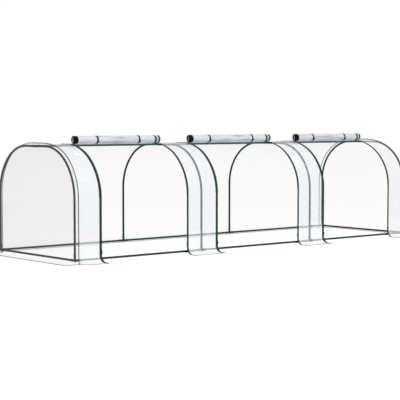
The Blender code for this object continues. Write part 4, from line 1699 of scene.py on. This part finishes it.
@dataclass
class WindowRoll(Assembly):
    """A window's film, rolled up and tied on top of the near shoulder.

    The film leaves the cover at the flat top's near edge, rises under the roll and winds seven turns. Its rows before
    the roll rise from the cover's edge to the roll's nip.
    """

    window: int
    turns: int = 7
    core_half_height: float = 0.0235
    core_reach: float = 0.003
    core_half_width: float = 0.0012
    bare_turns: float = 1.3
    left_shift: float = 0.010
    right_shift: float = -0.037
    outer_radius: float = 0.0305
    rows_per_turn: int = 30
    ramp_rows: int = 44
    film_thickness: float = 0.0005
    tape_thickness: float = 0.0011
    chain_thickness: float = 0.0017
    tape_width: float = 0.0205
    chain_width: float = 0.0036
    gap: float = 0.0035
    film_columns: int = 64
    tape_columns: int = 7
    chain_columns: int = 3
    lobe: float = 0.022
    crumple: float = 0.03
    cinch: float = 0.04
    cinch_width: float = 0.02
    drift: float = 0.0022
    blend_margin: float = 0.0007
    sharp: float = 60.0

    @property
    def axis(self) -> Array:
        """The hinge axis' Y and Z: the near shoulder's centre."""
        return np.array([-self.section.flat_half, self.section.leg_top])

    @property
    def centre(self) -> Array:
        """The roll's middle, Y and Z."""
        return self.layout.roll_centre

    @property
    def tilt(self) -> float:
        """How far the roll's middle leans from upright, seen from the axis."""
        arm = self.centre - self.axis
        return math.atan2(-arm[0], arm[1])

    @property
    def ties(self) -> Pair:
        """The X of the two straps."""
        return self.layout.strap_x[self.window]

    @property
    def body(self) -> str:
        """The body that carries the roll's straps."""
        return f"window_{self.window + 1}"

    @property
    def wound(self) -> Array:
        """The turn of each row on the roll, in radians."""
        return math.tau * np.arange(1, self.turns * self.rows_per_turn + 1) / self.rows_per_turn

    def on_rows(self, before: Array | float, after: Array) -> Array:
        """Return numbers for the rows before the roll and on it, as a column."""
        return np.concatenate((np.broadcast_to(before, self.ramp_rows), after))[:, None]

    def between(self, x: Array, past: float, width: float) -> Array:
        """Return 1 between the straps and 0 outside: a smooth rise and fall of some width."""
        left, right = self.ties
        return smooth_step((x - left + past) / width) * smooth_step((right + past - x) / width)

    def swell(self, x: Array, angle: Array) -> Array:
        """Return how much larger than its plain radius the roll is.

        It has two and three lobes round it, crumples that are long along the roll and
        short round it, and is drawn in under each strap. All of it fades to nothing on the
        roll's underside, where one plus the sine of the angle is zero.

        Args:
            x: places along the roll.
            angle: angles round its middle.

        Returns:
            Shares of the radius.
        """
        lobes = self.lobe * (0.6 * np.cos(2.0 * angle + 0.6 + self.window) + 0.4 * np.cos(3.0 * angle + 1.9))
        round_it = np.sin(0.022 * angle * 45.0) * 0.03 + 0.0 * x
        crumples = wave_sum(x * 0.14, round_it, 40 + self.window, 12, 0.008, 0.03) * self.crumple
        drawn = sum(bell(x - tie, self.cinch_width) for tie in self.ties)
        crumples = crumples * (0.35 + 0.65 * self.between(x, 0.0, 0.05)) * (1.0 - np.minimum(drawn, 1.0))
        return (lobes + crumples - self.cinch * drawn) * (0.5 + 0.5 * np.sin(angle))

    def ramp_ends(self) -> Pair:
        """Return the film's distance from the hinge axis at the sheet's edge and at the nip."""
        first = self.section.shoulder_radius + self.section.film_offset
        orbit = float(np.linalg.norm(self.centre - self.axis))
        return first, orbit - self.outer_radius + self.tape_thickness / 2

    def ramp(self) -> tuple[Array, Array]:
        """Return the Y and Z of the rows before the roll.

        Their angle round the hinge axis grows from the sheet's edge to the roll's nip, and their distance from it from
        the cover's film to the roll's skin. The rows are spaced at even steps of a share, a smooth step of the height
        towards the nip, which a table turns round.

        Returns:
            The two coordinates.
        """
        first, last = self.ramp_ends()
        angle = np.linspace(0.0, self.tilt, 800)
        distance = first + (last - first) * smooth_step(angle / self.tilt)
        height = distance * np.cos(self.tilt - angle)
        share = smooth_step((height - height[0]) / (last - self.blend_margin - height[0]))
        keep = np.concatenate(([True], np.diff(share) > 0))
        turn = np.interp(np.linspace(0.0, 1.0, self.ramp_rows), share[keep], angle[keep])
        out = np.interp(turn, angle, distance)
        return self.axis[0] - out * np.sin(turn), self.axis[1] + out * np.cos(turn)

    def rows(self, x: Points) -> tuple[Points, Array]:
        """Return the centre surface of the film.

        On the roll the film winds inwards round an ellipse whose half height and half width
        shrink evenly, from the roll's radius to those of the flattened core.

        Args:
            x: the X of each row's columns, as a grid.

        Returns:
            The points in rows, and the length of film up to each row.
        """
        wound = self.wound[:, None]
        angle = self.tilt - QUARTER - wound
        skin = self.outer_radius - self.tape_thickness / 2
        inward = wound / wound[-1]
        tall = skin + (self.core_half_height - skin) * inward
        wide = skin + (self.core_half_width - skin) * inward
        plain = 1.0 / np.hypot(np.cos(angle) / wide, np.sin(angle) / tall)
        radius = plain * (1.0 + self.swell(x[self.ramp_rows :], angle))
        points = np.empty((*x.shape, 3))
        points[..., 0] = x
        for axis, (start, wave) in enumerate(zip(self.ramp(), (np.cos, np.sin))):
            points[: self.ramp_rows, :, axis + 1] = start[:, None]
            points[self.ramp_rows :, :, axis + 1] = self.centre[axis] + radius * wave(angle)
        return points, run_length(points[:, x.shape[1] // 2, 1:])

    def edges(
        self, before: Pair, after: Pair, columns: int, shifts: Pair = (0.0, 0.0), core_reach: float = 0.0
    ) -> Points:
        """Return the columns' X on every row: between the teeth before the roll, wider on it.

        The outermost turn is wound short of the others at both ends, more at the right, so
        that the tape under it shows too. The inner turns drift a few millimetres sideways,
        as a roll made by hand does.

        Args:
            before: the strip's left and right edge before the roll.
            after: its two edges on the roll.
            columns: how many columns it has.
            shifts: how far its two edges move along X on the outermost turn.
            core_reach: how far they reach out on the bare turns round the core.

        Returns:
            One row of places for each row of the film.
        """
        wound = self.wound
        share = np.linspace(0.0, 1.0, columns)[None, :]
        on_roll = self.on_rows(smooth_step(np.linspace(-0.8, 1.0, self.ramp_rows)), np.ones_like(wound))
        outermost = self.on_rows(1.0, 1.0 - smooth_step((wound / math.tau - 0.85) / 0.3))
        core = smooth_step((wound / math.tau - self.turns + self.bare_turns) / 0.2) * core_reach
        low = after[0] + shifts[0] * outermost - self.on_rows(0.0, core)
        high = after[1] + shifts[1] * outermost + self.on_rows(0.0, core)
        drift = self.on_rows(0.0, self.drift * np.sin(0.31 * wound + self.window) * wound / wound[-1])
        start = before[0] + (before[1] - before[0]) * share
        return start * (1.0 - on_roll) + (low + (high - low) * share) * on_roll + drift

    def strip(self, columns_x: Points, thickness: float, bare_turns: float = 0.0) -> Shape:
        """Return a closed strip of some thickness wound on the film's own path.

        The strip's rows are shifted half the thickness to each side along the rows' normal,
        the cross product of the steps along and across it.

        Args:
            columns_x: the X of each row's columns.
            thickness: the strip's thickness.
            bare_turns: how many turns short of the film's own end it ends.

        Returns:
            The closed shape.
        """
        points, length = self.rows(columns_x)
        kept = len(points) - round(bare_turns * self.rows_per_turn)
        points, length, columns_x = points[:kept], length[:kept], columns_x[:kept]
        along = np.gradient(points, axis=0)
        half = unit(np.cross(along, np.broadcast_to(X_AXIS, along.shape))) * thickness / 2
        shape = Shape.closed(np.concatenate((points + half, (points - half)[:, ::-1]), axis=1))
        across = np.concatenate((columns_x, columns_x[:, ::-1]), axis=1)
        shape.surface = np.stack(np.broadcast_arrays(across, length[:, None]), axis=-1).reshape(-1, 2)
        shape.numbers["crumple"] = (0.25 + 0.75 * self.between(across, 0.02, 0.06)).ravel()
        return shape

    def piece(self, name: str, shape: Shape, finish: str, nodes: Sequence[str] = ()) -> Piece:
        """Build a piece that no body carries, its place baked into its mesh."""
        piece = self.finishes.dress(name, shape, finish, None, nodes, self.sharp)
        first, last = self.ramp_ends()
        out = np.array([-math.sin(self.tilt), math.cos(self.tilt)])
        start = self.axis + out * first * math.cos(self.tilt)
        end = self.axis + out * (last - self.blend_margin)
        x = sum(self.layout.windows[self.window]) / 2
        self.body
        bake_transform(piece)
        return piece

    def build(self) -> tuple[Piece, list[Piece]]:
        """Build the film, its two tapes and their teeth.

        Returns:
            The film, and the tapes and teeth on it.
        """
        left, right = self.layout.windows[self.window]
        left, right = left + self.gap, right - self.gap
        low, high = self.layout.rolls[self.window]
        tape, chain, number = self.tape_width, self.chain_width, self.window + 1
        covered, meshed = tape * 0.6, chain * 0.8
        shifts = (self.left_shift, self.right_shift)
        inside, on_roll = (left + covered, right - covered), (low + tape, high - tape)
        film_x = self.edges(inside, on_roll, self.film_columns, shifts, tape + self.core_reach)
        film = self.strip(film_x, self.film_thickness)
        sheet = self.piece(f"window_film_{number}", film, "roll", [f"window_roll_{number}"])
        # The rolled tapes and teeth take darker and lighter copies of the zip's finishes: painted shade in the
        # windings, and a painted highlight on the right tape.
        spans = {
            "tape_left": ((left, left + covered), (low + chain, low + tape), "rolled_tape"),
            "tape_right": ((right - covered, right), (high - tape, high - chain), "veiled_tape"),
            "teeth_left": ((left - meshed, left), (low, low + chain), "rolled_coil"),
            "teeth_right": ((right, right + meshed), (high - chain, high), "rolled_coil"),
        }
        parts = []
        for label, (before, after, finish) in spans.items():
            shift = shifts[label.endswith("right")]
            is_tape = label.startswith("tape")
            columns = self.tape_columns if is_tape else self.chain_columns
            thickness = self.tape_thickness if is_tape else self.chain_thickness
            shape = self.strip(self.edges(before, after, columns, (shift, shift)), thickness, self.bare_turns)
            parts.append(self.piece(f"window_{number}_{label}", shape, finish))
        return sheet, parts

    def flat_size(self) -> Pair:
        """Return the window film's width and length when flat."""
        span = self.layout.rolls[self.window]
        length = self.rows(self.edges(span, span, self.chain_columns))[1][-1]
        return span[1] - span[0] - 2 * self.tape_width, float(length)


@dataclass
class TieStrap:
    """A webbing strap tied round a roll, one end left hanging."""

    roll: WindowRoll
    end: End
    width: float = 0.0138
    thickness: float = 0.0013
    clearance: float = 0.0004
    tail: float = 0.017
    tail_steps: int = 8
    fall: Pair = (-0.35, -1.0)
    sides_per_turn: int = 48
    overlap: float = 1.12
    last_degrees: float = -165.0
    stitch_share: float = 0.38
    stitch_width: float = 0.0009

    def build(self) -> Piece:
        """Build the strap.

        It runs once round the roll and a little over itself, then its tail curves away
        from the near side of the roll towards the ground.

        Returns:
            The piece.
        """
        roll = self.roll
        x = roll.ties[0 if self.end is End.LEFT else 1]
        wound = math.tau * np.arange(int(self.sides_per_turn * self.overlap) + 1) / self.sides_per_turn
        angle = math.radians(self.last_degrees) + math.tau * self.overlap - wound
        skin = roll.outer_radius * (1.0 + roll.swell(np.full_like(angle, x), angle))
        lap = smooth_step((wound / math.tau - self.overlap + 0.16) / 0.12) * self.thickness * 1.25
        radius = skin + self.thickness / 2 + self.clearance + lap
        band = roll.centre + np.column_stack((radius * np.cos(angle), radius * np.sin(angle)))
        share = np.linspace(0.0, 1.0, self.tail_steps + 1)[1:, None]
        steps = unit(unit(band[-1] - band[-2]) * (1.0 - share) + unit(np.array(self.fall)) * share)
        tail = band[-1] + np.cumsum(steps * self.tail / self.tail_steps, axis=0)
        route = np.concatenate((band, tail))
        profile = rounded_bar(self.thickness, -self.width / 2, self.width / 2)
        shape = Shape.rod(in_plane(x, route), X_AXIS, profile)
        across = np.tile(profile[:, 1], len(route))
        shape.surface = np.column_stack((across, np.repeat(run_length(route), len(profile))))
        shape.numbers["stitch"] = bell(np.abs(across) - self.width * self.stitch_share, self.stitch_width)
        node = f"tie_strap_{roll.window + 1}_{self.end.word}"
        return roll.finishes.dress(f"{node}_band", shape, "webbing", roll.body, [node], roll.sharp)


@dataclass(frozen=True)
class Studio:
    """A plain pale floor, soft light and the photograph's camera."""

    camera_place: Triple = (-6.7064, -7.7652, 1.0022)
    camera_yaw_degrees: float = 40.058
    camera_pitch_degrees: float = -3.575
    camera_lens: float = 112.27
    sensor_width: float = 36.0
    view_depth: float = 200.0
    floor_half: float = 40.0
    floor_colour: Colour = (0.86, 0.86, 0.86)
    floor_glow_share: float = 0.88
    floor_glow: float = 1.08
    world_level: float = 0.58
    key_place: Triple = (1.5, -6.0, 7.0)
    key_power: float = 430.0
    fill_place: Triple = (-3.6, -4.6, 4.6)
    fill_power: float = 125.0
    lamp_size: float = 3.0
    lamp_aim: Triple = (0.0, 0.0, 0.4)

    def seen_directly(self, graph: Graph) -> Value:
        """Return 1 for camera, glossy and transmission rays, and 0 for the rest."""
        seen = graph.add("ShaderNodeLightPath", output="Is Camera Ray")
        for name in ("Is Glossy Ray", "Is Transmission Ray"):
            seen = seen.math("MAXIMUM", graph.add("ShaderNodeLightPath", output=name))
        return seen

    def build_floor(self) -> None:
        """Build the floor, white to the eye and still able to take a shadow."""
        graph = Graph("pale_floor")
        matt = graph.add("ShaderNodeBsdfDiffuse", {}, {"Color": (*self.floor_colour, 1.0)})
        glow = graph.add("ShaderNodeEmission", {}, {"Color": WHITE, "Strength": self.floor_glow})
        factor = self.seen_directly(graph) * self.floor_glow_share
        graph.add_output(graph.add("ShaderNodeMixShader", {}, {0: factor, 1: matt, 2: glow}))
        sides = (-self.floor_half, self.floor_half)
        mesh = Shape.from_grid(np.array([[(x, y, 0.0) for x in sides] for y in sides])).mesh("floor")
        mesh.materials.append(graph.owner)
        add_object("floor", mesh)

    def build_world(self) -> None:
        """Build the world: white where it is seen, softer where it lights."""
        graph = Graph("studio", world=True)
        bpy.context.scene.world = graph.owner
        level = self.seen_directly(graph) * (1.0 - self.world_level) + self.world_level
        graph.add_output(graph.add("ShaderNodeBackground", {}, {"Color": WHITE, "Strength": level}))

    def build_lamp(self, name: str, place: Sequence[float], power: float) -> None:
        """Build a square lamp that looks at the tunnel's middle."""
        light = bpy.data.lights.new(name, "AREA")
        light.size = self.lamp_size
        light.energy = power
        lamp = add_object(name, light)
        lamp.location = place
        lamp.rotation_euler = (Vector(self.lamp_aim) - lamp.location).to_track_quat("-Z", "Y").to_euler()

    def build_camera(self) -> None:
        """Build the camera at the photograph's view."""
        data = bpy.data.cameras.new("camera")
        data.lens = self.camera_lens
        data.sensor_width = self.sensor_width
        data.clip_end = self.view_depth
        camera = add_object("camera", data)
        camera.location = self.camera_place
        pitch = math.radians(90.0 + self.camera_pitch_degrees)
        camera.rotation_euler = (pitch, 0.0, -math.radians(self.camera_yaw_degrees))
        bpy.context.scene.camera = camera

    def build(self) -> None:
        """Build the whole stage."""
        self.build_camera()
        self.build_floor()
        self.build_world()
        self.build_lamp("key_lamp", self.key_place, self.key_power)
        self.build_lamp("fill_lamp", self.fill_place, self.fill_power)
        bpy.context.scene.view_settings.view_transform = "Standard"
        LOG.info("stage: camera, floor, world and two lamps")


def main() -> None:
    """Build the stage, the frame, the cover and the windows in order."""
    logging.basicConfig(level=logging.INFO, format="%(name)s: %(message)s")
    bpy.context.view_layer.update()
    Studio().build()
    parts = (Layout.from_frame(), CrossSection(), Finishes.make())
    layout, _, finishes = parts
    windows = range(len(layout.windows))
    TubeFrame(*parts).build()
    JointSet(*parts).build()
    cover = CoverFilm(*parts)
    sheet, on_sheet = cover.build()
    for window in windows:
        for end in End:
            on_sheet += ZipHalf(*parts, window, end).build()
            ZipSlider(finishes, window, end).build()
    width, length, area = cover.flat_size()
    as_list(on_sheet)
    for end in End:
        panel = EndPanel(*parts, end)
        piece, on_panel = panel.build()
        width, length, area = panel.flat_size()
        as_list(on_panel)
    for window in windows:
        roll = WindowRoll(*parts, window)
        film, on_film = roll.build()
        straps = [TieStrap(roll, end).build() for end in End]
        roll.flat_size()
        on_film + straps


if __name__ == "__main__":
    main()
